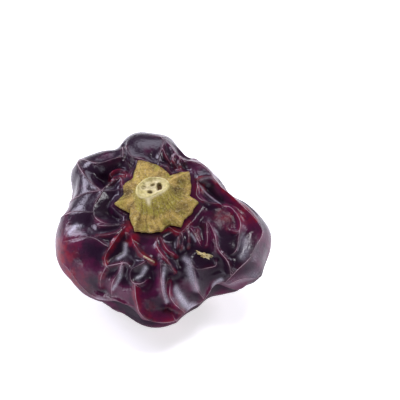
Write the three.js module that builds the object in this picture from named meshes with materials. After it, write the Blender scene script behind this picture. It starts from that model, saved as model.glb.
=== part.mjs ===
// A small round dried pepper with a crumpled, leathery skin and a cut stem on a star-shaped calyx.
// Millimetres, +Z up. It rests on a flat spot of its base at Z = 0, with the stem leaning to -Y.
import * as THREE from "three";

// Driving dimensions, in millimetres
const SKIN_RADIUS = 28;
const CROWN_HEIGHT = 16;
const BASE_DEPTH = 17.5;
const BASIN_DEPTH = 4;
const BASIN_RADIUS = 11;
const HEEL_DEPTH = 3.6;
const HEEL_RADIUS = 14;
const FLAT_DEPTH = 1.4;
const REST_BLEND = 8;
const STEM_TOP = 21;
const STEM_CUT_RADIUS = 4.2;
const STEM_FOOT_RADIUS = 6.8;
const STEM_CENTRE = [-1.2, 1.0];
const PITH_DEPTH = 0.9;
const RIM_LIP = 0.15;
const RIM_ROUND = 0.3;
const CALYX_EDGE = 0.9;
const CALYX_TIP_SHARE = 0.8;
const CALYX_FOOT_SHARE = 1.5;
const CALYX_CLEARANCE = 0.45;

// How the pepper lies, in degrees: its stem leans to the front and a little to the left
const LEAN_FRONT = 20;
const LEAN_LEFT = 5;

// Form of the round skin: below 1 its section is squarer than an ellipse
const ROUNDING = 0.8;

// Swells and flats of the widest ring: turn about the stem from +X (degrees), height (mm), spread (degrees)
const SWELLS = [
  [140, 4.4, 15], [105, 3, 12], [84, 0.6, 8], [196, 2.8, 26], [348, 2.6, 20], [268, 1, 22], [325, 2.8, 9],
  [42, -8.2, 27], [14, -3.4, 11], [70, -2.4, 9], [119, -1.2, 4], [163, -1.4, 8], [240, -1.6, 12],
  [304, -5.2, 12], [284, -3.4, 11],
];

// The dried skin falls away from its crests by up to SAG, least where it is smooth and most where it is
// crumpled. FALL_SLOPE is how steeply it falls there, and REACH the distance over which it bends.
const SAG = 5;
const SAG_LEAST = 0.15;
const FALL_SLOPE = [0.25, 1.4];
const REACH = 1.4;
const CREST_GRIP = 0.4;
const GULLY_GRIP = 0.8;

// A crest that meets no other within JOINED (mm) fades out over END_SHARE of its length
const JOINED = 1.3;
const END_SHARE = 0.3;
const END_FADE = 2.5;

// Crests: depth below the round skin at the first and the last point (mm), then the points as
// [degrees round the stem from +X, degrees down from the stem]
const CRESTS = {
  leftBandTop: [0, 0.8, [166, 74], [165, 59], [164, 51], [160, 32]],
  leftForkUp: [0.8, 1.6, [160, 32], [146, 27], [137, 24], [150, 18]],
  leftForkLow: [0.8, 1.4, [160, 32], [157, 25], [150, 18]],
  leftBowl: [0.6, 1.2, [161, 31], [178, 34], [190, 32], [202, 23], [204, 13]],
  leftBandLow: [0, 0.6, [176, 74], [177, 59], [178, 48], [182, 35]],
  leftCorner: [0, 0.8, [139, 70], [148, 52], [160, 32]],
  leftLeafHigh: [0.8, 1.2, [197, 32], [205, 22], [208, 18]],
  leftLeafLow: [0.6, 1.2, [206, 36], [213, 25], [211, 19]],
  leftSoft: [0.5, 0.7, [193, 66], [203, 41], [220, 35]],
  lowLeftSeam: [0, -1.4, [202, 76], [210, 73], [223, 80], [232, 83], [242, 77], [253, 76]],
  backLeftRim: [0, 0.4, [138, 72], [138, 46], [128, 40], [120, 40], [116, 50]],
  hollowFold: [2.2, 2, [141, 36], [129, 32], [129, 19]],
  hollowFoldLow: [2.4, 2.4, [146, 31], [137, 29], [133, 25]],
  notchWall: [1.2, 2.4, [120, 40], [121, 32], [122, 24]],
  backRim: [0, 0.8, [114, 47], [115, 34], [108, 28], [92, 19]],
  backRightEdge: [0, 0.8, [88, 51], [86, 41], [88, 32], [91, 19]],
  backPleatLeft: [0.2, 1.4, [86, 35], [81, 28], [75, 24]],
  backSlope: [0, 0.3, [87, 48], [74, 35], [61, 29]],
  backPleatMid: [0.6, 1.6, [74, 36], [73, 27], [63, 21]],
  backPleatRight: [0.6, 1.6, [68, 34], [66, 26], [58, 21]],
  calyxEdgeBack: [1.4, 1.2, [91, 19], [81, 22], [73, 18], [62, 16], [51, 21]],
  rightShoulder: [0, 0, [58, 31], [42, 37], [26, 35]],
  bladeTop: [-0.6, 0, [33, 22], [26, 33], [11, 38], [-3, 46], [-11, 60]],
  bladeLow: [-0.4, 0.2, [33, 22], [12, 17], [-3, 22], [-5, 35], [-15, 45], [-23, 47], [-25, 39]],
  bladeMid: [1.4, 1.8, [30, 22], [16, 23], [-1, 30], [-6, 35]],
  valleyEdge: [0.6, 0, [333, 26], [324, 34], [317, 44], [316, 59], [314, 76]],
  rightCurve: [0.7, 1.4, [338, 48], [328, 51], [319, 54]],
  rightCrest: [0, -0.8, [349, 60], [343, 67], [329, 63], [319, 67], [311, 85], [307, 90]],
  rightLow: [0, -0.6, [325, 86], [318, 81], [311, 91]],
  calyxEdgeFront: [0.8, 1, [276, 12], [289, 10], [301, 17], [320, 16]],
  pleatOne: [0.9, 1.7, [301, 17], [294, 21], [289, 26]],
  pleatTwo: [0.9, 1.7, [302, 18], [298, 23], [292, 28]],
  pleatThree: [0.9, 1.6, [310, 19], [305, 24], [300, 30]],
  pleatFour: [0.8, 1.4, [316, 19], [312, 26], [310, 33]],
  pleatFive: [0.8, 1.4, [322, 21], [316, 25], [312, 31]],
  pleatSix: [0.7, 1.2, [331, 25], [322, 29], [312, 38]],
  frontFoldHigh: [0.7, 0.8, [271, 16], [278, 26], [285, 32]],
  frontFoldMid: [0.6, 0.3, [266, 16], [266, 22], [275, 33], [281, 47]],
  frontFoldLow: [0.4, 0.3, [271, 35], [276, 40], [279, 45]],
  frontRib: [0.2, -0.6, [270, 35], [270, 55], [272, 75]],
  frontRibRight: [0.2, -1.8, [277, 50], [274, 62], [275, 71], [279, 88]],
  frontFlap: [0.6, -1.4, [288, 37], [294, 50], [291, 68], [293, 86]],
  scarRim: [0.8, 0.8, [296, 39], [295, 48], [300, 60], [308, 66], [311, 56]],
  rightFrontEdge: [-0.8, -2.2, [311, 84], [300, 87], [285, 88], [273, 87]],
  leftFrontRidge: [1.2, 0.3, [212, 15], [220, 30], [224, 43], [229, 49]],
  pocketRidge: [1.2, 0.4, [228, 19], [242, 25], [254, 30], [265, 33]],
  frontLeftRib: [0.4, 0, [238, 41], [239, 49], [237, 61], [238, 76]],
  softRib: [0.4, 0.2, [229, 49], [229, 60], [231, 75]],
  pocketSill: [0.3, 0.7, [229, 49], [236, 43], [242, 40], [247, 43]],
  eyeRim: [0.6, 0.3, [256, 34], [247, 43], [249, 52], [255, 52], [261, 46]],
  frontSeam: [0.2, -2.2, [252, 53], [255, 67], [259, 79], [273, 87]],
};

// Gullies: depth below the round skin at the first and the last point (mm), then points as above
const GULLIES = {
  notch: [3.5, 3.5, [114, 54], [117, 41], [120, 22]],
  hollow: [6, 6, [146, 43], [148, 35], [137, 37], [126, 36]],
  hollowDeep: [5.5, 5.5, [152, 37], [143, 34]],
  leftBowlFloor: [2.8, 3, [166, 22], [177, 24], [194, 20]],
  calyxLeft: [3.4, 3, [123, 27], [126, 19]],
  bladeUnder: [2.6, 1.8, [10, 15], [-3, 18], [-11, 24]],
  bladeTrough: [2.6, 3, [28, 24], [20, 29], [2, 33], [-3, 40]],
  leftStep: [1.4, 1.6, [186, 58], [187, 49], [189, 40]],
  bladeBack: [1.6, 2, [30, 40], [18, 45], [4, 53], [-5, 62]],
  rightValley: [3.4, 1.4, [319, 36], [314, 55], [313, 67], [309, 82]],
  frontValley: [3.8, 0.6, [290, 28], [283, 45], [284, 66], [289, 80]],
  leftPocket: [3.6, 2.8, [226, 22], [231, 29], [232, 38]],
  eyePocket: [2.4, 2, [258, 35], [253, 48]],
  pocketRight: [2.2, 2, [240, 30], [248, 34], [247, 39]],
  calyxFront: [3.4, 3.2, [235, 17], [249, 15], [267, 13]],
  lowHole: [3, 3, [232, 89], [243, 85]],
  rightHollow: [1.4, 1.8, [341, 62], [329, 57], [324, 60]],
  backGully: [2.6, 2.4, [82, 31], [77, 23], [63, 18]],
  backGullyRight: [2.6, 2.4, [61, 27], [47, 23]],
};
// Share of its full pull that a gully has at its ends, and how fast that grows along it
const GULLY_END = 0.3;
const GULLY_GROWTH = 4;

// Places where the skin is most crumpled: [turn, down, radius in mm, amount]
const CRUMPLED_PLACES = [
  [268, 40, 13, 0.9], [238, 38, 9, 1], [304, 42, 11, 0.65], [140, 34, 7, 1], [10, 28, 9, 0.8],
  [332, 54, 9, 0.4], [72, 26, 7, 0.9], [196, 24, 7, 0.7], [250, 74, 9, 0.5], [290, 74, 10, 0.55],
  [120, 36, 5, 0.8], [272, 92, 9, 0.9], [297, 92, 8, 0.8], [246, 86, 7, 0.8],
];
const CRUMPLE_LEAST = 0.22;

// Places where the skin stays smooth: [turn, down, radius in mm, depth below the round skin in mm]
const SMOOTH_PLACES = [
  [211, 58, 8.5, 0.15], [192, 78, 9, 0.15], [170, 48, 5, 0.15], [104, 44, 6.5, 0.15], [98, 64, 8, 0.15],
  [143, 66, 5, 0.15], [331, 73, 5, 0.15], [341, 86, 7, 0.15], [41, 30, 4, 0.15], [155, 52, 3.4, 0.15],
  [128, 60, 5, 0.15], [263, 66, 3.6, 0.15], [246, 68, 3.4, 0.15], [307, 47, 4.5, 1.5],
  [298, 76, 4, 0.2], [343, 33, 5, 0.9], [325, 48, 5, 1.7], [261, 23, 3.5, 1.2],
];
const SMOOTH_SHARE = 0.8;

// The back and the underside, which hang from a net of crests between points of a golden spiral
const NET_POINTS = 70;
const NET_NEIGHBOURS = 3;
const NET_DEPTH = [0.5, 1.5];
const NET_SCATTER = { turn: 16, down: 8 };
const NET_BEND = { turn: 5, down: 4 };
const GOLDEN_ANGLE = 137.508;
const NET_FRONT_TOP = 100;
const NET_BACK_TOP = 84;
const NET_FRONT_EDGE = 0.2;
const NET_BOTTOM = 158;

// Edge of the calyx, tip and notch by turns: [turn, down]
const CALYX_STAR = [
  [-53, 14.5], [-40, 13], [-4, 16], [13, 13], [46, 20.5], [69, 14], [112, 24.5], [129, 17], [148, 18],
  [160, 15.5], [177, 19], [195, 12], [231, 16], [250, 14.5], [272, 12.5], [293, 10],
];
const SEAT_DEPTH = 0.7;
const SEAT_MARGIN = 2.5;
const SEAT_BLEND = 5;

// Stem's side from the cut down to the calyx: share of the way out, share of the height left
const STEM_FLARE = [[0.08, 0.75], [0.2, 0.49], [0.38, 0.27], [0.64, 0.11], [1, 0.02]];
const STEM_RIBS = 9;
const STEM_RIB_HEIGHT = 0.14;
// The cut is tilted: rise per millimetre along X and Y
const CUT_SLOPE = [0.09, -0.4];
// Shares of the cut's radius for the pith, the lip and the rim
const PITH_SHARE = 0.62;
const LIP_SHARE = 0.75;
const RIM_SHARE = 0.88;
// The lifted lobe of the calyx: turn, spread (degrees), height (mm)
const LIFTED_LOBE = [46, 20, 0.5];
const LOBE_POWER = 3;

// Fineness: the skin is worked out on the fine grid, and its mesh takes every second cell of it
const MESH_TURNS = 112;
const MESH_DOWNS = 44;
const CELL_TURNS = 2 * MESH_TURNS;
const CELL_DOWNS = 2 * MESH_DOWNS - 1;
const DOWN_FIRST = 2;
const DOWN_LAST = 178;
const RELAX_ROUNDS = 200;
const OVER_RELAX = 1.5;
const SOFT_ROUNDS = 8;
const LINE_STEPS = 80;
const CALYX_TURNS = 80;
const CALYX_BLADE_RINGS = 5;
const SEAT_SEARCH_DOWN = 60;
const SEAT_SEARCH_ROUNDS = 24;

const { degToRad, radToDeg, smoothstep, lerp, clamp } = THREE.MathUtils;

function wrapDegrees(angle) {
  return ((((angle + 180) % 360) + 360) % 360) - 180;
}

function bell(distance, width) {
  return Math.exp(-((distance / width) ** 2));
}

// Repeatable random draw from 0 to 1
function draw(index, stream) {
  const value = Math.sin(index * 12.9898 + stream * 78.233) * 43758.5453;
  return value - Math.floor(value);
}

// The round skin before it crumpled, in the pepper's own frame with the stem along +Z
function roundSkin(turn, down) {
  const sine = Math.sin(degToRad(down));
  const cosine = Math.cos(degToRad(down));
  let radius = SKIN_RADIUS;
  for (const [at, height, spread] of SWELLS) {
    radius += height * bell(wrapDegrees(turn - at), spread) * sine ** 2;
  }
  const out = radius * Math.abs(sine) ** ROUNDING;
  const rise = cosine > 0 ? CROWN_HEIGHT : BASE_DEPTH;
  let z = rise * Math.sign(cosine) * Math.abs(cosine) ** ROUNDING;
  z -= cosine > 0 ? BASIN_DEPTH * bell(out, BASIN_RADIUS) : HEEL_DEPTH * bell(out, HEEL_RADIUS);
  return new THREE.Vector3(out * Math.cos(degToRad(turn)), out * Math.sin(degToRad(turn)), z);
}

function skinNormal(turn, down) {
  const step = 0.2;
  const along = roundSkin(turn, down + step).sub(roundSkin(turn, down - step));
  const across = roundSkin(turn + step, down).sub(roundSkin(turn - step, down));
  return along.cross(across).normalize();
}

// The pepper's own frame as it lies
const LIE = new THREE.Matrix4().makeRotationY(degToRad(-LEAN_LEFT))
  .multiply(new THREE.Matrix4().makeRotationX(degToRad(LEAN_FRONT)));

// How far down the edge of the calyx lies at a turn
function calyxReach(turn) {
  const first = CALYX_STAR[0][0];
  const at = ((((turn - first) % 360) + 360) % 360) + first;
  const count = CALYX_STAR.length;
  for (let k = 0; k < count; k += 1) {
    const [turnA, downA] = CALYX_STAR[k];
    const [turnB, downB] = k + 1 < count ? CALYX_STAR[k + 1] : [first + 360, CALYX_STAR[0][1]];
    if (at <= turnB) {
      return lerp(downA, downB, (at - turnA) / (turnB - turnA));
    }
  }
  return CALYX_STAR[0][1];
}

// Crests of the hidden sides, in the form of CRESTS
function netCrests() {
  const spots = [];
  for (let k = 0; k < NET_POINTS; k += 1) {
    const level = 1 - (2 * (k + 0.5)) / NET_POINTS;
    const down = radToDeg(Math.acos(level)) + NET_SCATTER.down * (draw(k, 5) - 0.5);
    const turn = k * GOLDEN_ANGLE + NET_SCATTER.turn * (draw(k, 6) - 0.5);
    spots.push({ turn, down, depth: lerp(...NET_DEPTH, draw(k, 7)), point: roundSkin(turn, down) });
  }
  const crests = [];
  spots.forEach((spot, k) => {
    const nearest = spots.map((other, index) => ({ other, index, gap: other.point.distanceTo(spot.point) }));
    nearest.sort((a, b) => a.gap - b.gap);
    for (const { other, index } of nearest.slice(1, NET_NEIGHBOURS + 1)) {
      const half = wrapDegrees(other.turn - spot.turn) / 2;
      const midTurn = spot.turn + half;
      const midDown = (spot.down + other.down) / 2;
      const top = Math.sin(degToRad(midTurn)) < NET_FRONT_EDGE ? NET_FRONT_TOP : NET_BACK_TOP;
      if (midDown < top || midDown > NET_BOTTOM || index < k) {
        continue;
      }
      const bend = [
        midTurn + NET_BEND.turn * (draw(k, 8) - 0.5),
        midDown + NET_BEND.down * (draw(k, 9) - 0.5),
      ];
      const end = [spot.turn + 2 * half, other.down];
      crests.push([spot.depth, other.depth, [spot.turn, spot.down], bend, end]);
    }
  });
  return crests;
}

// A smooth line through the points, step by step: its share of the way, its cell and its place
function traceLine(points) {
  const curve = new THREE.CatmullRomCurve3(points.map(([turn, down]) => new THREE.Vector3(turn, down, 0)));
  return Array.from({ length: LINE_STEPS + 1 }, (_, k) => {
    const share = k / LINE_STEPS;
    const { x: turn, y: down } = curve.getPoint(share);
    return { share, cell: cellAt(turn, down), place: roundSkin(turn, down) };
  });
}

// All crests, step by step: the height of each step and how firmly it holds the skin
function crestSteps() {
  const crests = [...Object.values(CRESTS), ...netCrests()];
  const traces = crests.map(([, , ...points]) => traceLine(points));
  return crests.flatMap(([start, end], k) => {
    const others = traces.filter((_, other) => other !== k).flat();
    const isFree = ({ place }) => others.every((step) => step.place.distanceTo(place) > JOINED);
    const freeStart = isFree(traces[k][0]);
    const freeEnd = isFree(traces[k][LINE_STEPS]);
    return traces[k].map(({ share, cell, place }) => {
      const startFirm = freeStart ? smoothstep(share, 0, END_SHARE) : 1;
      const endFirm = freeEnd ? smoothstep(1 - share, 0, END_SHARE) : 1;
      return { cell, place, firm: startFirm * endFirm, height: -lerp(start, end, share) };
    });
  });
}

// 1 about a place of the skin, falling to 0 beyond the radius
function plateau(point, turn, down, radius) {
  return Math.exp(-((point.distanceTo(roundSkin(turn, down)) / radius) ** 4));
}

// Height at a point of the round skin once the skin has fallen away from its nearest crest
function fallenHeight(point, crests) {
  let nearest = crests[0];
  let gap = Infinity;
  for (const crest of crests) {
    const squared = point.distanceToSquared(crest.place);
    if (squared < gap) {
      gap = squared;
      nearest = crest;
    }
  }
  let crumple = CRUMPLE_LEAST;
  for (const [turn, down, radius, amount] of CRUMPLED_PLACES) {
    crumple = Math.max(crumple, amount * plateau(point, turn, down, radius));
  }
  const away = Math.hypot(Math.sqrt(gap), END_FADE * (1 - nearest.firm));
  const sag = SAG * lerp(SAG_LEAST, 1, crumple);
  const slope = lerp(...FALL_SLOPE, crumple);
  let height = nearest.height - sag * (1 - Math.exp((-slope * away) / sag));
  for (const [turn, down, radius, depth] of SMOOTH_PLACES) {
    height = lerp(height, -depth, SMOOTH_SHARE * plateau(point, turn, down, radius));
  }
  return height;
}

// What each cell of the skin is drawn to, and how strongly: its fallen height, gullies and crests
function pullsOnSkin(points) {
  const crests = crestSteps();
  const goal = softened(Float64Array.from(points, (point) => fallenHeight(point, crests)));
  const grip = new Float64Array(points.length).fill(1 / REACH ** 2);
  const pull = (cell, height, strength) => {
    goal[cell] = (goal[cell] * grip[cell] + height * strength) / (grip[cell] + strength);
    grip[cell] += strength;
  };
  for (const [start, end, ...line] of Object.values(GULLIES)) {
    for (const { share, cell } of traceLine(line)) {
      const fromEnd = Math.min(share, 1 - share);
      const strength = clamp(GULLY_GROWTH * fromEnd + GULLY_END, 0, 1);
      pull(cell, -lerp(start, end, share), strength / GULLY_GRIP ** 2);
    }
  }
  for (const { cell, height, firm } of crests) {
    pull(cell, height, firm / CREST_GRIP ** 2);
  }
  return { goal, grip };
}

// Height of the crumpled skin over the round one, cell by cell: a thin sheet drawn to its goals
function crumpledHeights() {
  const points = [];
  for (let column = 0; column < CELL_TURNS; column += 1) {
    for (let row = 0; row < CELL_DOWNS; row += 1) {
      points.push(roundSkin(cellTurn(column), cellDown(row)));
    }
  }
  const { goal, grip } = pullsOnSkin(points);
  const height = Float64Array.from(goal);
  for (let round = 0; round < RELAX_ROUNDS; round += 1) {
    for (let column = 0; column < CELL_TURNS; column += 1) {
      const left = ((column + CELL_TURNS - 1) % CELL_TURNS) * CELL_DOWNS;
      const right = ((column + 1) % CELL_TURNS) * CELL_DOWNS;
      for (let row = 0; row < CELL_DOWNS; row += 1) {
        const cell = column * CELL_DOWNS + row;
        const above = column * CELL_DOWNS + Math.max(row - 1, 0);
        const below = column * CELL_DOWNS + Math.min(row + 1, CELL_DOWNS - 1);
        const acrossPull = 1 / points[cell].distanceToSquared(points[right + row]);
        const downPull = 4 / points[above].distanceToSquared(points[below]);
        const sum = acrossPull * (height[left + row] + height[right + row])
          + downPull * (height[above] + height[below]) + grip[cell] * goal[cell];
        const settled = sum / (2 * acrossPull + 2 * downPull + grip[cell]);
        height[cell] += OVER_RELAX * (settled - height[cell]);
      }
    }
  }
  let soft = height;
  for (let round = 0; round < SOFT_ROUNDS; round += 1) {
    soft = softened(soft);
  }
  return soft;
}

// Each cell's height drawn half way to the mean of its four neighbours
function softened(height) {
  return height.map((here, cell) => {
    const row = cell % CELL_DOWNS;
    const count = height.length;
    const sides = height[(cell + CELL_DOWNS) % count] + height[(cell + count - CELL_DOWNS) % count];
    const ends = height[row > 0 ? cell - 1 : cell] + height[row + 1 < CELL_DOWNS ? cell + 1 : cell];
    return 0.5 * here + 0.125 * (sides + ends);
  });
}

function cellTurn(column) {
  return (360 * column) / CELL_TURNS;
}

function cellDown(row) {
  return DOWN_FIRST + ((DOWN_LAST - DOWN_FIRST) * row) / (CELL_DOWNS - 1);
}

function cellAt(turn, down) {
  const column = ((Math.round((turn / 360) * CELL_TURNS) % CELL_TURNS) + CELL_TURNS) % CELL_TURNS;
  const row = Math.round(((down - DOWN_FIRST) / (DOWN_LAST - DOWN_FIRST)) * (CELL_DOWNS - 1));
  return column * CELL_DOWNS + clamp(row, 0, CELL_DOWNS - 1);
}

// A crumpled height made level under the calyx and round again at the resting spot
function finishedHeight(height, turn, down, lowest) {
  const edge = calyxReach(turn) + SEAT_MARGIN;
  const seated = lerp(-SEAT_DEPTH, height, smoothstep(down, edge, edge + SEAT_BLEND));
  const lift = roundSkin(turn, down).applyMatrix4(LIE).z - lowest;
  return seated * smoothstep(lift, 0, REST_BLEND);
}

// Closes a grid of points, ring by ring from one pole to the other, with its faces outward
function closedGrid(rings, firstPole, lastPole) {
  const turns = rings[0].length;
  const points = [firstPole, ...rings.flat(), lastPole];
  const at = (ring, turn) => 1 + ring * turns + (turn % turns);
  const last = points.length - 1;
  const faces = [];
  for (let turn = 0; turn < turns; turn += 1) {
    faces.push(0, at(0, turn), at(0, turn + 1));
    for (let ring = 0; ring + 1 < rings.length; ring += 1) {
      faces.push(at(ring, turn), at(ring + 1, turn), at(ring + 1, turn + 1));
      faces.push(at(ring, turn), at(ring + 1, turn + 1), at(ring, turn + 1));
    }
    faces.push(last, at(rings.length - 1, turn + 1), at(rings.length - 1, turn));
  }
  const geometry = new THREE.BufferGeometry().setFromPoints(points);
  geometry.setIndex(faces);
  geometry.computeVertexNormals();
  return geometry;
}

// The lowest level of the round skin as the pepper lies, raised by the flat spot's depth
function restLevel() {
  let lowest = Infinity;
  for (let turn = 0; turn < 360; turn += 3) {
    for (let down = 90; down < 180; down += 1) {
      lowest = Math.min(lowest, roundSkin(turn, down).applyMatrix4(LIE).z);
    }
  }
  return lowest + FLAT_DEPTH;
}

function fruitGeometry(floor) {
  const heights = crumpledHeights();
  const onFloor = (point) => point.setZ(Math.max(point.z, floor));
  const rings = [];
  for (let ring = 1; ring + 1 < MESH_DOWNS; ring += 1) {
    const points = [];
    for (let turn = 0; turn < MESH_TURNS; turn += 1) {
      const crumpled = heights[2 * turn * CELL_DOWNS + 2 * ring];
      const place = [cellTurn(2 * turn), cellDown(2 * ring)];
      const height = finishedHeight(crumpled, ...place, floor - FLAT_DEPTH);
      const point = roundSkin(...place).addScaledVector(skinNormal(...place), height);
      points.push(onFloor(point.applyMatrix4(LIE)));
    }
    rings.push(points);
  }
  const stemPole = roundSkin(0, 0).setZ(roundSkin(0, 0).z - SEAT_DEPTH).applyMatrix4(LIE);
  const basePole = onFloor(roundSkin(0, 180).applyMatrix4(LIE));
  return closedGrid(rings, stemPole, basePole);
}

// Height of the calyx's seat on the skin, over a point of the plane across the stem
function seatHeight(x, y) {
  const turn = radToDeg(Math.atan2(y, x));
  const out = Math.hypot(x, y);
  let low = 0;
  let high = SEAT_SEARCH_DOWN;
  for (let k = 0; k < SEAT_SEARCH_ROUNDS; k += 1) {
    const middle = (low + high) / 2;
    const point = roundSkin(turn, middle);
    if (Math.hypot(point.x, point.y) < out) {
      low = middle;
    } else {
      high = middle;
    }
  }
  return roundSkin(turn, low).z - SEAT_DEPTH;
}

// Rings of the calyx from the pith of the cut stem, down its side, out to the tips and back below
function calyxGeometry() {
  const [centreX, centreY] = STEM_CENTRE;
  const cutLevel = (x, y) => STEM_TOP + CUT_SLOPE[0] * (x - centreX) + CUT_SLOPE[1] * (y - centreY);
  const under = (x, y) => seatHeight(x, y) + CALYX_CLEARANCE;
  const thickness = (share) => CALYX_EDGE * (CALYX_TIP_SHARE + CALYX_FOOT_SHARE * (1 - share) ** 2);
  const ringOf = (place) => {
    const points = [];
    for (let k = 0; k < CALYX_TURNS; k += 1) {
      points.push(new THREE.Vector3(...place((360 * k) / CALYX_TURNS)).applyMatrix4(LIE));
    }
    return points;
  };
  const around = (turn, radius) => [
    centreX + radius * Math.cos(degToRad(turn)),
    centreY + radius * Math.sin(degToRad(turn)),
  ];
  const onCut = (radius, sunk) => ringOf((turn) => {
    const [x, y] = around(turn, radius);
    return [x, y, cutLevel(x, y) - sunk];
  });
  const onSide = ([out, left]) => ringOf((turn) => {
    const rib = STEM_RIB_HEIGHT * Math.cos(degToRad(STEM_RIBS * turn));
    const [x, y] = around(turn, lerp(STEM_CUT_RADIUS, STEM_FOOT_RADIUS, out) + rib);
    const foot = under(x, y) + thickness(0);
    return [x, y, lerp(foot, cutLevel(x, y) - RIM_ROUND, left)];
  });
  const edgePoint = (turn) => roundSkin(turn, calyxReach(turn));
  const onBlade = (share, raised) => ringOf((turn) => {
    const [footX, footY] = around(turn, STEM_FOOT_RADIUS);
    const edge = edgePoint(turn);
    const x = lerp(footX, edge.x, share);
    const y = lerp(footY, edge.y, share);
    const [lobeTurn, lobeSpread, lobeHeight] = LIFTED_LOBE;
    const lobe = lobeHeight * bell(wrapDegrees(turn - lobeTurn), lobeSpread) * share ** LOBE_POWER;
    return [x, y, under(x, y) + lobe + (raised ? thickness(share) : 0)];
  });
  const rings = [
    onCut(PITH_SHARE * STEM_CUT_RADIUS, PITH_DEPTH),
    onCut(LIP_SHARE * STEM_CUT_RADIUS, RIM_LIP),
    onCut(RIM_SHARE * STEM_CUT_RADIUS, 0),
    onCut(STEM_CUT_RADIUS, RIM_ROUND),
    ...STEM_FLARE.map(onSide),
  ];
  for (let k = 1; k <= CALYX_BLADE_RINGS; k += 1) {
    rings.push(onBlade(k / CALYX_BLADE_RINGS, true));
  }
  for (let k = CALYX_BLADE_RINGS; k >= 1; k -= 1) {
    rings.push(onBlade(k / CALYX_BLADE_RINGS, false));
  }
  rings.push(ringOf((turn) => {
    const [x, y] = around(turn, STEM_FOOT_RADIUS / 2);
    return [x, y, under(x, y)];
  }));
  const pith = new THREE.Vector3(centreX, centreY, STEM_TOP - PITH_DEPTH).applyMatrix4(LIE);
  const foot = new THREE.Vector3(centreX, centreY, under(centreX, centreY)).applyMatrix4(LIE);
  return closedGrid(rings, pith, foot);
}

const floor = restLevel();
const fruit = new THREE.Mesh(
  fruitGeometry(floor),
  new THREE.MeshStandardMaterial({ color: 0x3a0b14, roughness: 0.3, metalness: 0 }),
);
fruit.name = "fruit";

const calyx = new THREE.Mesh(
  calyxGeometry(),
  new THREE.MeshStandardMaterial({ color: 0x9c8f4a, roughness: 0.85, metalness: 0 }),
);
calyx.name = "calyx";

// Stands the pepper on Z = 0 with its outline centred over the origin
const pepper = new THREE.Group();
pepper.add(fruit, calyx);
const extent = new THREE.Box3().setFromObject(pepper);
pepper.position.set(-(extent.min.x + extent.max.x) / 2, -(extent.min.y + extent.max.y) / 2, -floor);

export default pepper;
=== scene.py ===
"""Looks of a small round dried pepper: crumpled glossy skin, a fibrous calyx and a cut stem."""

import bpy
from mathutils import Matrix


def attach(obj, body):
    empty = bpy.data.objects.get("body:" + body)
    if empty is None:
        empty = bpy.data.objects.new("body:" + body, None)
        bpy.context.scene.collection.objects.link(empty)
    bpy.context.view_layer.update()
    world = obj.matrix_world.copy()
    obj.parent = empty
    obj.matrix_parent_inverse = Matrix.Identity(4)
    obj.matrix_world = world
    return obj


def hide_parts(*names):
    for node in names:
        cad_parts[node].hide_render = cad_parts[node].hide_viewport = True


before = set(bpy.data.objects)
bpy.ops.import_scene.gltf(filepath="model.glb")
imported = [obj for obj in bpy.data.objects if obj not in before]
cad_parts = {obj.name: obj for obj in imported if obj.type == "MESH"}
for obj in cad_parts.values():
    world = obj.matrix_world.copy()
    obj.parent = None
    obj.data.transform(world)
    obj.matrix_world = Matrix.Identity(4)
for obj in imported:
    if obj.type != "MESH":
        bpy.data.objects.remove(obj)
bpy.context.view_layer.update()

import math

import bpy
import numpy as np
from bpy.props import FloatProperty, FloatVectorProperty, PointerProperty
from mathutils import Matrix, Vector
from mathutils.kdtree import KDTree

bl_info = {
    "name": "Dried pepper",
    "version": (1, 0, 0),
    "blender": (4, 5, 0),
    "location": "3D View > Sidebar > Pepper",
    "description": "Models a crumpled dried pepper with its calyx, its cut stem and a studio floor",
    "category": "Object",
}

BODY = "root"
MM = 0.001
# Guard against division by zero
TINY = 1e-12

# How the pepper lies in the frame: its own middle (m), the lean of its stem to the front and left, and
# the height above its resting spot over which the folds fade (mm)
PEPPER_MIDDLE = (0.000252, 0.000562, 0.020017)
LEAN_FRONT = math.radians(20)
LEAN_LEFT = math.radians(5)
REST_BLEND = 8.0

# Form of the round skin before it crumpled, in millimetres
ROUNDING = 0.8
BASIN_RADIUS = 11.0
HEEL_DEPTH = 3.6
HEEL_RADIUS = 14.0
# Step over which its normals are measured (degrees)
NORMAL_STEP = 0.2

# Swells and flats of the widest ring: turn about the stem (degrees), height (mm), spread (degrees)
SWELLS = [
    (140, 4.4, 15), (105, 3.0, 12), (84, 0.6, 8), (196, 2.8, 26), (348, 2.6, 20), (268, 1, 22),
    (325, 2.8, 9), (42, -8.2, 27), (14, -3.4, 11), (70, -2.4, 9), (119, -1.2, 4), (163, -1.4, 8),
    (240, -1.6, 12), (304, -5.2, 12), (284, -3.4, 11),
]

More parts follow.
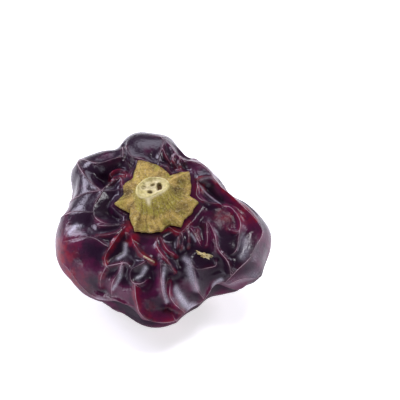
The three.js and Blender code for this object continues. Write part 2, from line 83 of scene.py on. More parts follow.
# Crests that the skin hangs from: depth below the round skin at each end (mm), then points as
# (degrees round the stem, degrees down from the stem)
CRESTS = {
    "left_band_top": (0, 0.8, (166, 74), (165, 59), (164, 51), (160, 32)),
    "left_fork_up": (0.8, 1.6, (160, 32), (146, 27), (137, 24), (150, 18)),
    "left_fork_low": (0.8, 1.4, (160, 32), (157, 25), (150, 18)),
    "left_bowl": (0.6, 1.2, (161, 31), (178, 34), (190, 32), (202, 23), (204, 13)),
    "left_band_low": (0, 0.6, (176, 74), (177, 59), (178, 48), (182, 35)),
    "left_corner": (0, 0.8, (139, 70), (148, 52), (160, 32)),
    "left_leaf_high": (0.8, 1.2, (197, 32), (205, 22), (208, 18)),
    "left_leaf_low": (0.6, 1.2, (206, 36), (213, 25), (211, 19)),
    "left_soft": (0.5, 0.7, (193, 66), (203, 41), (220, 35)),
    "low_left_seam": (0, -1.4, (202, 76), (210, 73), (223, 80), (232, 83), (242, 77), (253, 76)),
    "back_left_rim": (0, 0.4, (138, 72), (138, 46), (128, 40), (120, 40), (116, 50)),
    "hollow_fold": (2.2, 2, (141, 36), (129, 32), (129, 19)),
    "hollow_fold_low": (2.4, 2.4, (146, 31), (137, 29), (133, 25)),
    "notch_wall": (1.2, 2.4, (120, 40), (121, 32), (122, 24)),
    "back_rim": (0, 0.8, (114, 47), (115, 34), (108, 28), (92, 19)),
    "back_right_edge": (0, 0.8, (88, 51), (86, 41), (88, 32), (91, 19)),
    "back_pleat_left": (0.2, 1.4, (86, 35), (81, 28), (75, 24)),
    "back_slope": (0, 0.3, (87, 48), (74, 35), (61, 29)),
    "back_pleat_mid": (0.6, 1.6, (74, 36), (73, 27), (63, 21)),
    "back_pleat_right": (0.6, 1.6, (68, 34), (66, 26), (58, 21)),
    "calyx_edge_back": (1.4, 1.2, (91, 19), (81, 22), (73, 18), (62, 16), (51, 21)),
    "right_shoulder": (0, 0, (58, 31), (42, 37), (26, 35)),
    "blade_top": (-0.6, 0, (33, 22), (26, 33), (11, 38), (-3, 46), (-11, 60)),
    "blade_low": (-0.4, 0.2, (33, 22), (12, 17), (-3, 22), (-5, 35), (-15, 45), (-23, 47), (-25, 39)),
    "blade_mid": (1.4, 1.8, (30, 22), (16, 23), (-1, 30), (-6, 35)),
    "valley_edge": (0.6, 0, (333, 26), (324, 34), (317, 44), (316, 59), (314, 76)),
    "right_curve": (0.7, 1.4, (338, 48), (328, 51), (319, 54)),
    "right_crest": (0, -0.8, (349, 60), (343, 67), (329, 63), (319, 67), (311, 85), (307, 90)),
    "right_low": (0, -0.6, (325, 86), (318, 81), (311, 91)),
    "calyx_edge_front": (0.8, 1, (276, 12), (289, 10), (301, 17), (320, 16)),
    "pleat_one": (0.9, 1.7, (301, 17), (294, 21), (289, 26)),
    "pleat_two": (0.9, 1.7, (302, 18), (298, 23), (292, 28)),
    "pleat_three": (0.9, 1.6, (310, 19), (305, 24), (300, 30)),
    "pleat_four": (0.8, 1.4, (316, 19), (312, 26), (310, 33)),
    "pleat_five": (0.8, 1.4, (322, 21), (316, 25), (312, 31)),
    "pleat_six": (0.7, 1.2, (331, 25), (322, 29), (312, 38)),
    "front_fold_high": (0.7, 0.8, (271, 16), (278, 26), (285, 32)),
    "front_fold_mid": (0.6, 0.3, (266, 16), (266, 22), (275, 33), (281, 47)),
    "front_fold_low": (0.4, 0.3, (271, 35), (276, 40), (279, 45)),
    "front_rib": (0.2, -0.6, (270, 35), (270, 55), (272, 75)),
    "front_rib_right": (0.2, -1.8, (277, 50), (274, 62), (275, 71), (279, 88)),
    "front_flap": (0.6, -1.4, (288, 37), (294, 50), (291, 68), (293, 86)),
    "scar_rim": (0.8, 0.8, (296, 39), (295, 48), (300, 60), (308, 66), (311, 56)),
    "right_front_edge": (-0.8, -2.2, (311, 84), (300, 87), (285, 88), (273, 87)),
    "left_front_ridge": (1.2, 0.3, (212, 15), (220, 30), (224, 43), (229, 49)),
    "pocket_ridge": (1.2, 0.4, (228, 19), (242, 25), (254, 30), (265, 33)),
    "front_left_rib": (0.4, 0, (238, 41), (239, 49), (237, 61), (238, 76)),
    "soft_rib": (0.4, 0.2, (229, 49), (229, 60), (231, 75)),
    "pocket_sill": (0.3, 0.7, (229, 49), (236, 43), (242, 40), (247, 43)),
    "eye_rim": (0.6, 0.3, (256, 34), (247, 43), (249, 52), (255, 52), (261, 46)),
    "front_seam": (0.2, -2.2, (252, 53), (255, 67), (259, 79), (273, 87)),
}

# Gullies between the crests: depth below the round skin at each end (mm), then points as above
GULLIES = {
    "notch": (3.5, 3.5, (114, 54), (117, 41), (120, 22)),
    "hollow": (6, 6, (146, 43), (148, 35), (137, 37), (126, 36)),
    "hollow_deep": (5.5, 5.5, (152, 37), (143, 34)),
    "left_bowl_floor": (2.8, 3, (166, 22), (177, 24), (194, 20)),
    "calyx_left": (3.4, 3, (123, 27), (126, 19)),
    "blade_under": (2.6, 1.8, (10, 15), (-3, 18), (-11, 24)),
    "blade_trough": (2.6, 3, (28, 24), (20, 29), (2, 33), (-3, 40)),
    "left_step": (1.4, 1.6, (186, 58), (187, 49), (189, 40)),
    "blade_back": (1.6, 2.0, (30, 40), (18, 45), (4, 53), (-5, 62)),
    "right_valley": (3.4, 1.4, (319, 36), (314, 55), (313, 67), (309, 82)),
    "front_valley": (3.8, 0.6, (290, 28), (283, 45), (284, 66), (289, 80)),
    "left_pocket": (3.6, 2.8, (226, 22), (231, 29), (232, 38)),
    "eye_pocket": (2.4, 2.0, (258, 35), (253, 48)),
    "pocket_right": (2.2, 2.0, (240, 30), (248, 34), (247, 39)),
    "calyx_front": (3.4, 3.2, (235, 17), (249, 15), (267, 13)),
    "low_hole": (3, 3, (232, 89), (243, 85)),
    "right_hollow": (1.4, 1.8, (341, 62), (329, 57), (324, 60)),
    "back_gully": (2.6, 2.4, (82, 31), (77, 23), (63, 18)),
    "back_gully_right": (2.6, 2.4, (61, 27), (47, 23)),
}

# Places where the skin is most crumpled: turn, down, radius (mm), amount
CRUMPLED_PLACES = [
    (268, 40, 13, 0.9), (238, 38, 9, 1), (304, 42, 11, 0.65), (140, 34, 7, 1), (10, 28, 9, 0.8),
    (332, 54, 9, 0.4), (72, 26, 7, 0.9), (196, 24, 7, 0.7), (250, 74, 9, 0.5), (290, 74, 10, 0.55),
    (120, 36, 5, 0.8), (272, 92, 9, 0.9), (297, 92, 8, 0.8), (246, 86, 7, 0.8),
]
CRUMPLE_LEAST = 0.22
# Share of the sag that is left where nothing is crumpled, and how steeply the skin falls from a crest
# where it is least and most crumpled
SAG_LEAST = 0.15
FALL_SLOPE = (0.25, 1.4)

# Places where the skin stays smooth: turn, down, radius (mm), depth below the round skin (mm)
SMOOTH_PLACES = [
    (211, 58, 8.5, 0.15), (192, 78, 9, 0.15), (170, 48, 5, 0.15), (104, 44, 6.5, 0.15),
    (98, 64, 8, 0.15), (143, 66, 5, 0.15), (331, 73, 5, 0.15), (341, 86, 7, 0.15), (41, 30, 4, 0.15),
    (155, 52, 3.4, 0.15), (128, 60, 5, 0.15), (263, 66, 3.6, 0.15), (246, 68, 3.4, 0.15),
    (307, 47, 4.5, 1.5), (298, 76, 4, 0.2), (347, 34, 4.5, 1.6), (343, 33, 5, 0.9), (325, 48, 5, 1.7),
    (261, 23, 3.5, 1.2),
]
SMOOTH_HOLD = 0.8

# How the skin hangs: rounds of softening, the lengths over which crests and gullies hold it (mm), how far
# a gully's hold widens, the shortest step between vertices (mm), and guards against division by zero
FALL_ROUNDS, GULLY_ROUNDS, CREST_ROUNDS = 3, 2, 3
CREST_GRIP = 0.16
GULLY_GRIP = 0.8
GULLY_REACH = 3
LEAST_STEP = 0.1
WEIGHT_FLOOR = 1e-6
NEAR_FLOOR = 1e-4
# Ends of the lines: a crest's end within JOINED (mm) of another crest is held by it, a free end fades over
# a share of its length and lets the skin fall as if END_FADE (mm) away, and a gully's ends are weaker
JOINED = 1.3
FREE_END = 0.3
END_FADE = 2.5
GULLY_END_RISE = 4
GULLY_END_STRENGTH = 0.3

# Crests whose sides are thin and show red: strength, width to each side (mm)
RED_CRESTS = {
    "hollow_fold": (0.75, 1.3), "hollow_fold_low": (0.8, 1.1), "notch_wall": (0.5, 1.5),
    "left_fork_up": (0.55, 1.2), "left_front_ridge": (1, 1.5), "pocket_ridge": (0.95, 1.5),
    "left_leaf_low": (0.6, 1.4), "calyx_edge_front": (0.9, 1.6), "pleat_one": (0.65, 0.9),
    "pleat_two": (0.65, 0.9), "pleat_three": (0.65, 0.9), "pleat_four": (0.55, 0.9),
    "pleat_five": (0.6, 1.2), "pleat_six": (0.4, 1.0), "front_fold_high": (0.8, 1.2),
    "front_fold_mid": (0.7, 1.1), "front_seam": (0.7, 2.2), "front_rib": (0.3, 1),
    "front_rib_right": (0.6, 2), "blade_top": (1, 1.1), "blade_low": (0.6, 1.0),
    "calyx_edge_back": (0.6, 1.6), "back_pleat_mid": (0.8, 1.4), "back_pleat_right": (0.8, 1.4),
    "back_pleat_left": (0.6, 1.2), "right_front_edge": (0.4, 1.4), "soft_rib": (0.6, 1.8),
    "low_left_seam": (0.4, 2.0),
}
RED_STRENGTH = 0.8
# Shares of that width between which the red fades
RED_SHARES = (0.1, 1.3)

# Pale crest lines, partly worn skin and partly a painted highlight along the crest: depths over which they
# fade, distances over which they fade to each side (mm)
CREST_DEPTHS = (0.6, 2.2)
CREST_WIDTH = 0.5
CREST_RANGE = 1.6

# Dry cream edges: crest, the share of its length where each starts and ends, width (mm)
PALE_EDGES = [("pocket_ridge", 0.66, 0.985, 0.14)]

# Places where the skin is thin and shows red: turn, down, radius (mm), strength
RED_PLACES = [
    (200, 70, 8, 0.75), (214, 78, 7, 0.7), (189, 62, 4, 0.5), (218, 16, 2.4, 1), (232, 21, 2.4, 0.9),
    (24, 21, 2.2, 0.9), (352, 48, 4, 0.75), (346, 34, 4.5, 0.6), (262, 80, 6, 0.55), (274, 84, 5, 0.5),
    (129, 25, 2.2, 0.7),
]

# Places where the skin is dull: turn, down, radius (mm)
DULL_PLACES = [(300, 74, 5), (263, 64, 4.5), (345, 34, 6), (218, 52, 6), (205, 70, 5)]
DULLNESS = 0.75
# Upward tilt at which the gloss starts and is full
GLOSS_TILT = (-0.3, 0.4)

# Stretches of the skin with a painted pale lilac sheen, a painted highlight: strength, width to each side
# (mm), then points as above
PAINTED_SHEENS = {
    "flap": (0.52, 0.9, (292, 37), (293, 43), (291, 56), (291, 74)),
    "front_foot": (0.95, 0.9, (280, 66), (281, 78), (283, 89)),
    "front_foot_tip": (0.9, 0.8, (283, 86), (287, 88)),
    "left_pocket": (0.95, 0.55, (228, 25), (233, 32), (232, 39)),
    "eye_pocket": (0.95, 0.5, (257, 38), (254, 45), (252, 48)),
    "front_rib": (0.6, 0.45, (273, 39), (271, 53), (272, 69)),
    "left_seam": (0.85, 0.6, (230, 84), (236, 83), (241, 83)),
    "right_edge": (0.85, 0.4, (302, 87), (310, 82)),
    "right_lobe": (0.4, 1.0, (336, 56), (329, 58), (324, 59)),
    "right_foot": (0.22, 2.0, (312, 92), (317, 85), (323, 81)),
    "blade": (0.6, 0.3, (24, 22), (10, 25), (-2, 31)),
    "left_lobe": (0.7, 0.7, (191, 55), (188, 49)),
    "pocket_wall": (0.65, 0.35, (239, 44), (240, 56), (238, 70)),
    "pleat": (0.6, 0.25, (311, 22), (309, 29)),
    "blade_edge": (0.4, 0.25, (30, 24), (26, 32), (20, 35)),
}
SHEEN_STEPS = 40

# Places painted darker, painted shade in the pockets and hollows and darker stretches elsewhere: turn,
# down, radius (mm)
DARK_PLACES = [
    (104, 45, 9), (98, 66, 10), (143, 58, 8), (173, 44, 6), (230, 38, 4), (254, 46, 3.5), (304, 56, 5),
    (150, 36, 5), (318, 60, 5), (239, 89, 3.5), (287, 48, 2.5), (300, 66, 3),
]
# Hollows, which get painted shade in the skin's colour and less gloss: rounds of softening that give the
# level around, drop below it and depth that count in full (mm)
HOLLOW_ROUNDS = 30
HOLLOW_STEP = 0.8
HOLLOW_DEPTH = 5

# The skin of the back is less purple: the way that it faces, and where that starts and is full (metres)
BACKWARD = (0.35, 0.8, -0.5)
BACK_START_END = (-0.006, 0.004)

# Random draws: the mixing numbers and the streams
DRAW_MIX = (12.9898, 78.233, 43758.5453)
FIBRE_PHASE, FIBRE_STRENGTH, NET_DOWN, NET_TURN, NET_HEIGHT, BEND_TURN, BEND_DOWN = range(3, 10)

# The back and the underside, which hang from a net of crests between points of a golden spiral. Points
# and bends are scattered by turn and down (degrees), and the front has a turn whose sine is below a limit
NET_POINTS = 70
NET_NEIGHBOURS = 3
NET_DEPTH = (0.5, 1.5)
GOLDEN_ANGLE = 137.508
NET_FRONT_TOP = 100
NET_BACK_TOP = 84
NET_BOTTOM = 158
NET_SCATTER = (16, 8)
NET_BEND = (5, 4)
NET_FRONT_SINE = 0.2

# Edge of the calyx, tip and notch by turns: turn, down
CALYX_STAR = [
    (-53, 14.5), (-40, 13), (-4, 16), (13, 13), (46, 20.5), (69, 14), (112, 24.5), (129, 17), (148, 18),
    (160, 15.5), (177, 19), (195, 12), (231, 16), (250, 14.5), (272, 12.5), (293, 10),
]
# Seat of the calyx in the skin: depth (mm), margin and blend (degrees), and the search for its height
SEAT_DEPTH = 0.7
SEAT_MARGIN = 2.5
SEAT_BLEND = 5.0
SEAT_FURTHEST = 60.0
SEAT_ROUNDS = 24
# Stations of the calyx, from the middle of the cut to the middle of its underside
PITH_END, RIM_TOP, RIM_END, FOOT, BLADE_END, EDGE_END = 0.15, 0.21, 0.26, 0.50, 0.82, 0.86
# The cut: its middle (mm), slope, waves round it (mm, count, start), and by station the share of its
# radius and the depth (mm), then its ragged waves (mm, length, seed)
STEM_CENTRE = (-1.2, 1.0)
CUT_SLOPE = (0.09, -0.4)
CUT_WAVES = [(0.35, 2, 40), (0.2, 3, 100)]
CUT_STATIONS = (0, PITH_END, RIM_TOP, RIM_END)
CUT_SHARES = (0, 0.70, 0.90, 1.0)
CUT_DEPTHS = (0.8, 0.65, 0.0, 0.3)
CUT_RAGS = [(0.25, 2.2, 6.0), (0.2, 1.1, 2.0)]
# Pits of the cut: place across it (mm), half its width and length (mm), depth (mm)
PITS = [
    (-2.2, 0.5, 1.0, 0.9, 0.4), (2.0, 0.3, 1.0, 1.7, 1.2), (-0.6, -1.6, 0.95, 0.85, 1),
    (0.2, 1.3, 0.8, 0.8, 0.7),
]
# Their ragged edge (share, length, seed), and the shares of their radius between which the sides rise
PIT_RAGS = (0.2, 1.6, 5.0)
PIT_SIDES = (0.5, 1.0)
# The stem's side, from the cut to the foot in even steps: share of the way out, and of the height left
STEM_FLARE_OUT = (0, 0.08, 0.20, 0.38, 0.64, 1)
STEM_FLARE_LEFT = (1, 0.75, 0.49, 0.27, 0.11, 0)
FLARE_STEPS = np.linspace(0, 1, len(STEM_FLARE_OUT))
# Fibres: how many go round, height (mm), least strength and range of the phases
FIBRE_COUNTS = (13, 19, 29, 41, 53)
FIBRE_HEIGHT = 0.12
FIBRE_LEAST = 0.4
FIBRE_PHASES = 6.3
# The blade: clearance over its seat and thickness of its edge (mm), shares of that at the edge and added
# at the foot, waves (mm, length, seed) and where along it they end, least thickness (mm), midribs (mm,
# degrees) and lifted lobes (turn, spread, height)
CALYX_CLEARANCE = 0.35
CALYX_EDGE = 0.9
BLADE_THICK = (0.8, 1.5)
BLADE_WAVES = (0.22, 4.6, 3.0)
BLADE_ENDS = (0.02, 0.98)
BLADE_LEAST = 0.35
MIDRIB_HEIGHT = 0.45
MIDRIB_WIDTH = 7.0
LIFTED_LOBES = [(46, 20, 0.5), (112, 12, 0.5)]
# Its torn edge: waves (degrees, length, seed) round a circle (mm), and the reach of the tips (degrees)
EDGE_RADIUS = 9
EDGE_TEARS = [(0.45, 2.3, 1.0), (0.25, 1.1, 4.0)]
TIP_REACH = 0.9
TIP_WIDTH = 4.0
# Colours by station: where the stem's green fades, and the blends of the cut, the rim and the edge
STEM_FADE = 0.45
CUT_BLEND = (0.01, 0.03)
RIM_WIDTH = 0.035
EDGE_BLEND = 0.05
# Pale drip below the rim: turn, width and its narrowing (degrees), share of the side where it fades
DRIP_TURN = 258
DRIP_WIDTH = (10, 14)
DRIP_FADE = (0.2, 0.45)
# Dark smudges of the calyx, real stains on its lobes and painted shade beside the stem's foot: turn,
# distance out from the stem, radius (mm), strength
SMUDGES_AND_SHADE = [
    (20, 6.2, 1.9, 1), (36, 8.6, 1.4, 0.5), (160, 7.6, 1.9, 1), (335, 7.6, 1.5, 0.6), (80, 6.4, 1.6, 0.6),
    (245, 9.5, 1.4, 0.4), (196, 6.6, 1.2, 0.5), (300, 8.2, 1.2, 0.4),
]

# Scab on the front: turn and down, then half its width, length and height (mm)
SCAB_PLACE = (307, 47)
SCAB_SIZE = (0.9, 1.9, 0.8)
# Its ragged edge (share, count, start), its skew and its lumps (share, length, seed)
SCAB_RAGS = [(0.22, 3, 1), (0.18, 7, 0), (0.14, 12, 2)]
SCAB_SKEW = (0.35, 0.3)
SCAB_LUMPS = (0.45, 1.9 / 3, 2.0)

# Values of the masks at the two poles of a piece, where they aren't 0
POLE_VALUES = {"side": (CREST_RANGE, CREST_RANGE), "cut": (1, 0)}

# Fineness of the meshes and of the lines, and rounds in which the skin settles
SKIN_COLUMNS = 480
SKIN_RINGS = 204
FINE_RINGS = 158
FINE_DOWN = 104
CALYX_COLUMNS = 360
CALYX_RINGS = 150
SCAB_SEGMENTS = 48
SCAB_RINGS = 24
RELAX_ROUNDS = 900
LINE_STEPS = 240
JOIN_GAP = 1e-7

# Patterns of the finishes: scales of the blotches and the grain, or scale, detail and roughness
MOTTLE_DETAIL = {"Blotch": 4.0, "Grain": 6.0}
BUMP_DISTANCE = 0.0003
SKIN_MOTTLE = (170.0, 1500.0)
SKIN_PATCHES = (420.0, 2.0)
SKIN_SPECKLE = (3600.0, 3.0)
SKIN_PUCKER = (520.0, 5.0, 0.6)
CALYX_MOTTLE = (330.0, 2600.0)
CALYX_FLECKS = (1600.0, 4.0, 0.7)
CALYX_PATCHES = (620.0, 5.0, 0.65)
SCAB_MOTTLE = (1100.0, 3800.0)
FLOOR_MOTTLE = 3.0
# Ramps of the finishes: from low to high, and what these give where it isn't 0 and 1
SKIN_RAMPS = {
    "maroon": (0.28, 0.62), "patchy": (0.32, 0.66), "thin": (0, 1, 0.55, 1.0), "red": (0.30, 1.15),
    "speckle": (0.40, 0.60, 0.6, 1.0), "line": (0.18, 0.0), "worn_and_glint": (0.38, 0.62, 0.15, 0.9),
    "rough": (0.25, 0.75, 0.42, 0.52),
}
CALYX_RAMPS = {
    "green": (0.40, 0.70), "streak": (0.45, 0.85, 0.0, 0.4), "blotch": (0.35, 0.65), "patch": (0.46, 0.70),
    "speck": (0.50, 0.72), "fleck": (0.52, 0.72, 0.0, 0.55), "stain_and_shade": (0.62, 0.38, 0.5, 1.0),
    "rough": (0.2, 0.8, 0.6, 0.85),
}
SCAB_RAMPS = {"blotch": (0.35, 0.65), "speck": (0.50, 0.72), "rough": (0.2, 0.8, 0.65, 0.9)}
# Strengths in the skin's finish, in two lines, then in the calyx's
HOLLOW_PAINTED_SHADE, DARK_PLACES_STRENGTH, CREST_GLOW, BLOTCH_RED = 0.25, 0.3, 0.25, 0.35
CREST_PINCH, GRAIN_PUCKER, SKIN_BUMP, HOLLOW_DULL, SKIN_GLOSS = 0.6, 0.5, 0.42, 0.6, 0.7
STEM_GREEN, PATCH_BROWN, FIBRE_SPECK, SPECK_BROWN, STAIN_SHADE = 0.22, 0.65, 0.12, 0.5, 0.35
EDGE_BROWN, PIT_BROWN, FIBRE_RELIEF, CALYX_BUMP = 0.3, 0.85, 0.35, 0.6
# Uniform values of the finishes
SKIN_VALUES = {"IOR": 1.36, "Coat Roughness": 0.14, "Specular IOR Level": 0.15}
CALYX_VALUES = {"Specular IOR Level": 0.2}
FLOOR_VALUES = {"Roughness": 0.7, "Emission Color": (1, 1, 1, 1), "Emission Strength": 0.65}

# Stage: width of the floor (m), its darker mottle, and the light from all round
FLOOR_SIZE = 6
FLOOR_SHADE = 0.99
AIR_COLOUR = (0.93, 0.94, 1.0)
AIR_STRENGTH = 0.1

# Camera: the photograph is square, and its view is given by the place of the pepper's middle in it
PHOTO_SIZE = 400
MIDDLE_PIXEL = (164, 229)
MM_PER_PIXEL = 0.2736
CAMERA_DISTANCE = 520.0
CAMERA_ELEVATION = math.radians(39)
SENSOR_WIDTH = 36.0

# Studio lights, all aimed at the pepper: place (m), width and height (m), power (W), colour
STUDIO_LIGHTS = {
    "left_window": ((-0.48, 0.24, 0.33), (0.26, 0.26), 2.6, (0.84, 0.80, 1.0)),
    "back_window": ((-0.02, 0.42, 0.45), (0.30, 0.30), 1.1, (0.86, 0.83, 1.0)),
    "right_window": ((0.46, 0.20, 0.38), (0.20, 0.20), 1.4, (0.89, 0.85, 1.0)),
    "left_wall": ((-0.55, -0.20, 0.12), (0.09, 0.09), 0.5, (0.91, 0.88, 1.0)),
    "front_wall": ((-0.43, -0.61, 0.07), (0.70, 0.09), 1.2, (0.88, 0.84, 1.0)),
    "right_wall": ((0.70, 0.02, 0.08), (0.50, 0.10), 1.3, (0.88, 0.84, 1.0)),
    "top_window": ((0.12, -0.04, 0.62), (0.16, 0.16), 1.5, (0.97, 0.96, 1.0)),
}


class PepperSettings(bpy.types.PropertyGroup):
    """Sizes and colours of the pepper"""

    skin_radius: FloatProperty(
        name="Skin radius", description="Radius of the full round skin", default=0.028, unit="LENGTH")
    crown_height: FloatProperty(
        name="Crown height", description="From the widest ring up to the shoulder", default=0.016,
        unit="LENGTH")
    base_depth: FloatProperty(
        name="Base depth", description="From the widest ring down to the base", default=0.0175,
        unit="LENGTH")
    basin_depth: FloatProperty(
        name="Basin depth", description="How far the crown dips at the stem", default=0.004,
        unit="LENGTH")
    sag: FloatProperty(
        name="Sag", description="How far the skin sinks away from its crests", default=0.005,
        unit="LENGTH")
    reach: FloatProperty(
        name="Reach", description="Distance over which the skin bends smoothly", default=0.0005,
        unit="LENGTH")
    stem_top: FloatProperty(
        name="Stem top", description="Height of the cut above the widest ring", default=0.021,
        unit="LENGTH")
    stem_cut_radius: FloatProperty(
        name="Stem cut radius", description="Radius of the cut stem", default=0.0042, unit="LENGTH")
    stem_foot_radius: FloatProperty(
        name="Stem foot radius", description="Radius where the stem meets the calyx", default=0.0068,
        unit="LENGTH")
    # Dark skin, which also serves as the painted shade in the folds and pockets
    skin_dark: FloatVectorProperty(
        name="Dark skin", description="Thick skin and the folds", default=(0.016, 0.003, 0.016),
        size=3, subtype="COLOR")
    skin_maroon: FloatVectorProperty(
        name="Maroon skin", description="Skin between the folds", default=(0.078, 0.004, 0.038),
        size=3, subtype="COLOR")
    skin_brick: FloatVectorProperty(
        name="Brick skin", description="Skin between the folds of the back", default=(0.060, 0.004, 0.013),
        size=3, subtype="COLOR")
    skin_red: FloatVectorProperty(
        name="Red skin", description="Thin skin", default=(0.20, 0.003, 0.016), size=3, subtype="COLOR")
    # Crest colour: partly worn skin, partly a painted highlight along the crest
    skin_crest: FloatVectorProperty(
        name="Crest skin", description="The worn edge of a crest", default=(0.50, 0.33, 0.39),
        size=3, subtype="COLOR")
    # Colour of the painted lilac sheen, a painted highlight on chosen stretches of the skin
    skin_sheen: FloatVectorProperty(
        name="Scuffed skin", description="Dry, scuffed stretches", default=(0.55, 0.52, 0.61),
        size=3, subtype="COLOR")
    calyx_straw: FloatVectorProperty(
        name="Straw", description="Dry calyx", default=(0.56, 0.40, 0.11), size=3, subtype="COLOR")
    calyx_olive: FloatVectorProperty(
        name="Olive", description="Greener parts of the calyx and stem", default=(0.40, 0.34, 0.06),
        size=3, subtype="COLOR")
    calyx_brown: FloatVectorProperty(
        name="Brown", description="Specks and stains of the calyx", default=(0.13, 0.075, 0.028),
        size=3, subtype="COLOR")
    pith: FloatVectorProperty(
        name="Pith", description="Cut face of the stem", default=(0.78, 0.70, 0.42), size=3,
        subtype="COLOR")
    rim: FloatVectorProperty(
        name="Rim", description="Yellow-green ring about the cut", default=(0.62, 0.55, 0.23), size=3,
        subtype="COLOR")
    floor: FloatVectorProperty(
        name="Floor", description="Pale studio floor", default=(0.94, 0.94, 0.96), size=3,
        subtype="COLOR")


def wrap_degrees(angle):
    return (angle + 180.0) % 360.0 - 180.0


def bell(distance, width):
    return np.exp(-((distance / width) ** 2))


def plateau(distance, width):
    return np.exp(-((distance / width) ** 4))


def share_between(value, low, high):
    return np.clip((value - low) / (high - low), 0, 1)


def ease(value, low, high):
    share = share_between(value, low, high)
    return share * share * (3 - 2 * share)


def draw(index, stream):
    """Repeatable random draw from 0 to 1"""
    value = math.sin(index * DRAW_MIX[0] + stream * DRAW_MIX[1]) * DRAW_MIX[2]
    return value - math.floor(value)


def scatter(index, stream, width):
    """Repeatable random draw about zero, over that width"""
    return width * (draw(index, stream) - 0.5)


def ripple(points, length, seed):
    """Smooth waves through space, from -1 to 1, about that length apart"""
    x, y, z = (points[..., k] * (2 * math.pi / length) for k in range(3))
    a = np.sin(0.8 * x + 0.6 * y + 0.3 * np.sin(1.3 * z + seed) + seed)
    b = np.sin(0.7 * y - 0.7 * z + 0.4 * np.sin(1.1 * x + 2 * seed) + 2.3 * seed)
    c = np.sin(0.6 * z + 0.8 * x + 0.5 * np.sin(0.9 * y + 3 * seed) + 0.7 * seed)
    return (a + b + c) / 3


def flat_ripple(x, y, height, length, seed):
    """Smooth waves of that height over a level plane"""
    return height * ripple(np.stack([x, y, 0 * x], -1), length, seed)


def across_neighbours(field):
    """Sum of the columns to both sides of each column"""
    return np.roll(field, 1, 0) + np.roll(field, -1, 0)


def along_neighbours(field):
    """Sum of the rings above and below each ring; the first and the last stand in for what they lack"""
    below = np.concatenate([field[:, 1:], field[:, -1:]], 1)
    above = np.concatenate([field[:, :1], field[:, :-1]], 1)
    return below + above


def spread(field, rounds):
    """The field drawn half way to the mean of its neighbours, again and again"""
    for _ in range(rounds):
        field = 0.5 * field + 0.125 * (across_neighbours(field) + along_neighbours(field))
    return field


LIE = np.array((Matrix.Rotation(-LEAN_LEFT, 3, "Y") @ Matrix.Rotation(LEAN_FRONT, 3, "X")))


def into_frame(points):
    """Points of the pepper's own frame, in millimetres, as places in the frame, in metres"""
    return points @ LIE.T * MM + np.array(PEPPER_MIDDLE)


class RoundSkin:
    """The pepper's skin before it crumpled, in millimetres, with the stem along +Z"""

    def __init__(self, settings):
        self.radius = settings.skin_radius / MM
        self.crown = settings.crown_height / MM
        self.base = settings.base_depth / MM
        self.basin = settings.basin_depth / MM

    def point(self, turn, down):
        turn, down = np.broadcast_arrays(np.asarray(turn, float), np.asarray(down, float))
        sine = np.sin(np.radians(down))
        cosine = np.cos(np.radians(down))
        swell = sum(height * bell(wrap_degrees(turn - at), wide) for at, height, wide in SWELLS)
        out = (self.radius + swell * sine ** 2) * np.abs(sine) ** ROUNDING
        rise = np.where(cosine > 0, self.crown, self.base)
        basin = self.basin * bell(out, BASIN_RADIUS)
        heel = HEEL_DEPTH * bell(out, HEEL_RADIUS)
        z = rise * np.sign(cosine) * np.abs(cosine) ** ROUNDING - np.where(cosine > 0, basin, heel)
        return np.stack([out * np.cos(np.radians(turn)), out * np.sin(np.radians(turn)), z], -1)

    def normal(self, turn, down):
        along = self.point(turn, down + NORMAL_STEP) - self.point(turn, down - NORMAL_STEP)
        across = self.point(turn + NORMAL_STEP, down) - self.point(turn - NORMAL_STEP, down)
        normal = np.cross(along, across)
        return normal / np.maximum(np.linalg.norm(normal, axis=-1, keepdims=True), TINY)

    def seat(self, x, y):
        """Height of the level seat under the calyx"""
        turn = np.degrees(np.arctan2(y, x))
        out = np.hypot(x, y)
        low = np.zeros_like(out)
        high = np.full_like(out, SEAT_FURTHEST)
        for _ in range(SEAT_ROUNDS):
            middle = (low + high) / 2
            point = self.point(turn, middle)
            short = np.hypot(point[..., 0], point[..., 1]) < out
            low = np.where(short, middle, low)
            high = np.where(short, high, middle)
        return self.point(turn, low)[..., 2] - SEAT_DEPTH

    def lowest(self):
        """Lowest level of the round skin as it lies"""
        turn, down = np.meshgrid(np.arange(0, 360, 3.0), np.arange(90, 180, 1.0), indexing="ij")
        return (self.point(turn, down) @ LIE.T)[..., 2].min()


def calyx_reach(turn):
    """How far down the edge of the calyx lies, at each turn"""
    first = CALYX_STAR[0][0]
    at = (np.asarray(turn, float) - first) % 360.0 + first
    reach = np.zeros_like(at)
    stops = CALYX_STAR + [(first + 360, CALYX_STAR[0][1])]
    for (turn_a, down_a), (turn_b, down_b) in zip(stops, stops[1:]):
        inside = (at >= turn_a) & (at <= turn_b)
        reach = np.where(inside, np.interp(at, (turn_a, turn_b), (down_a, down_b)), reach)
    return reach


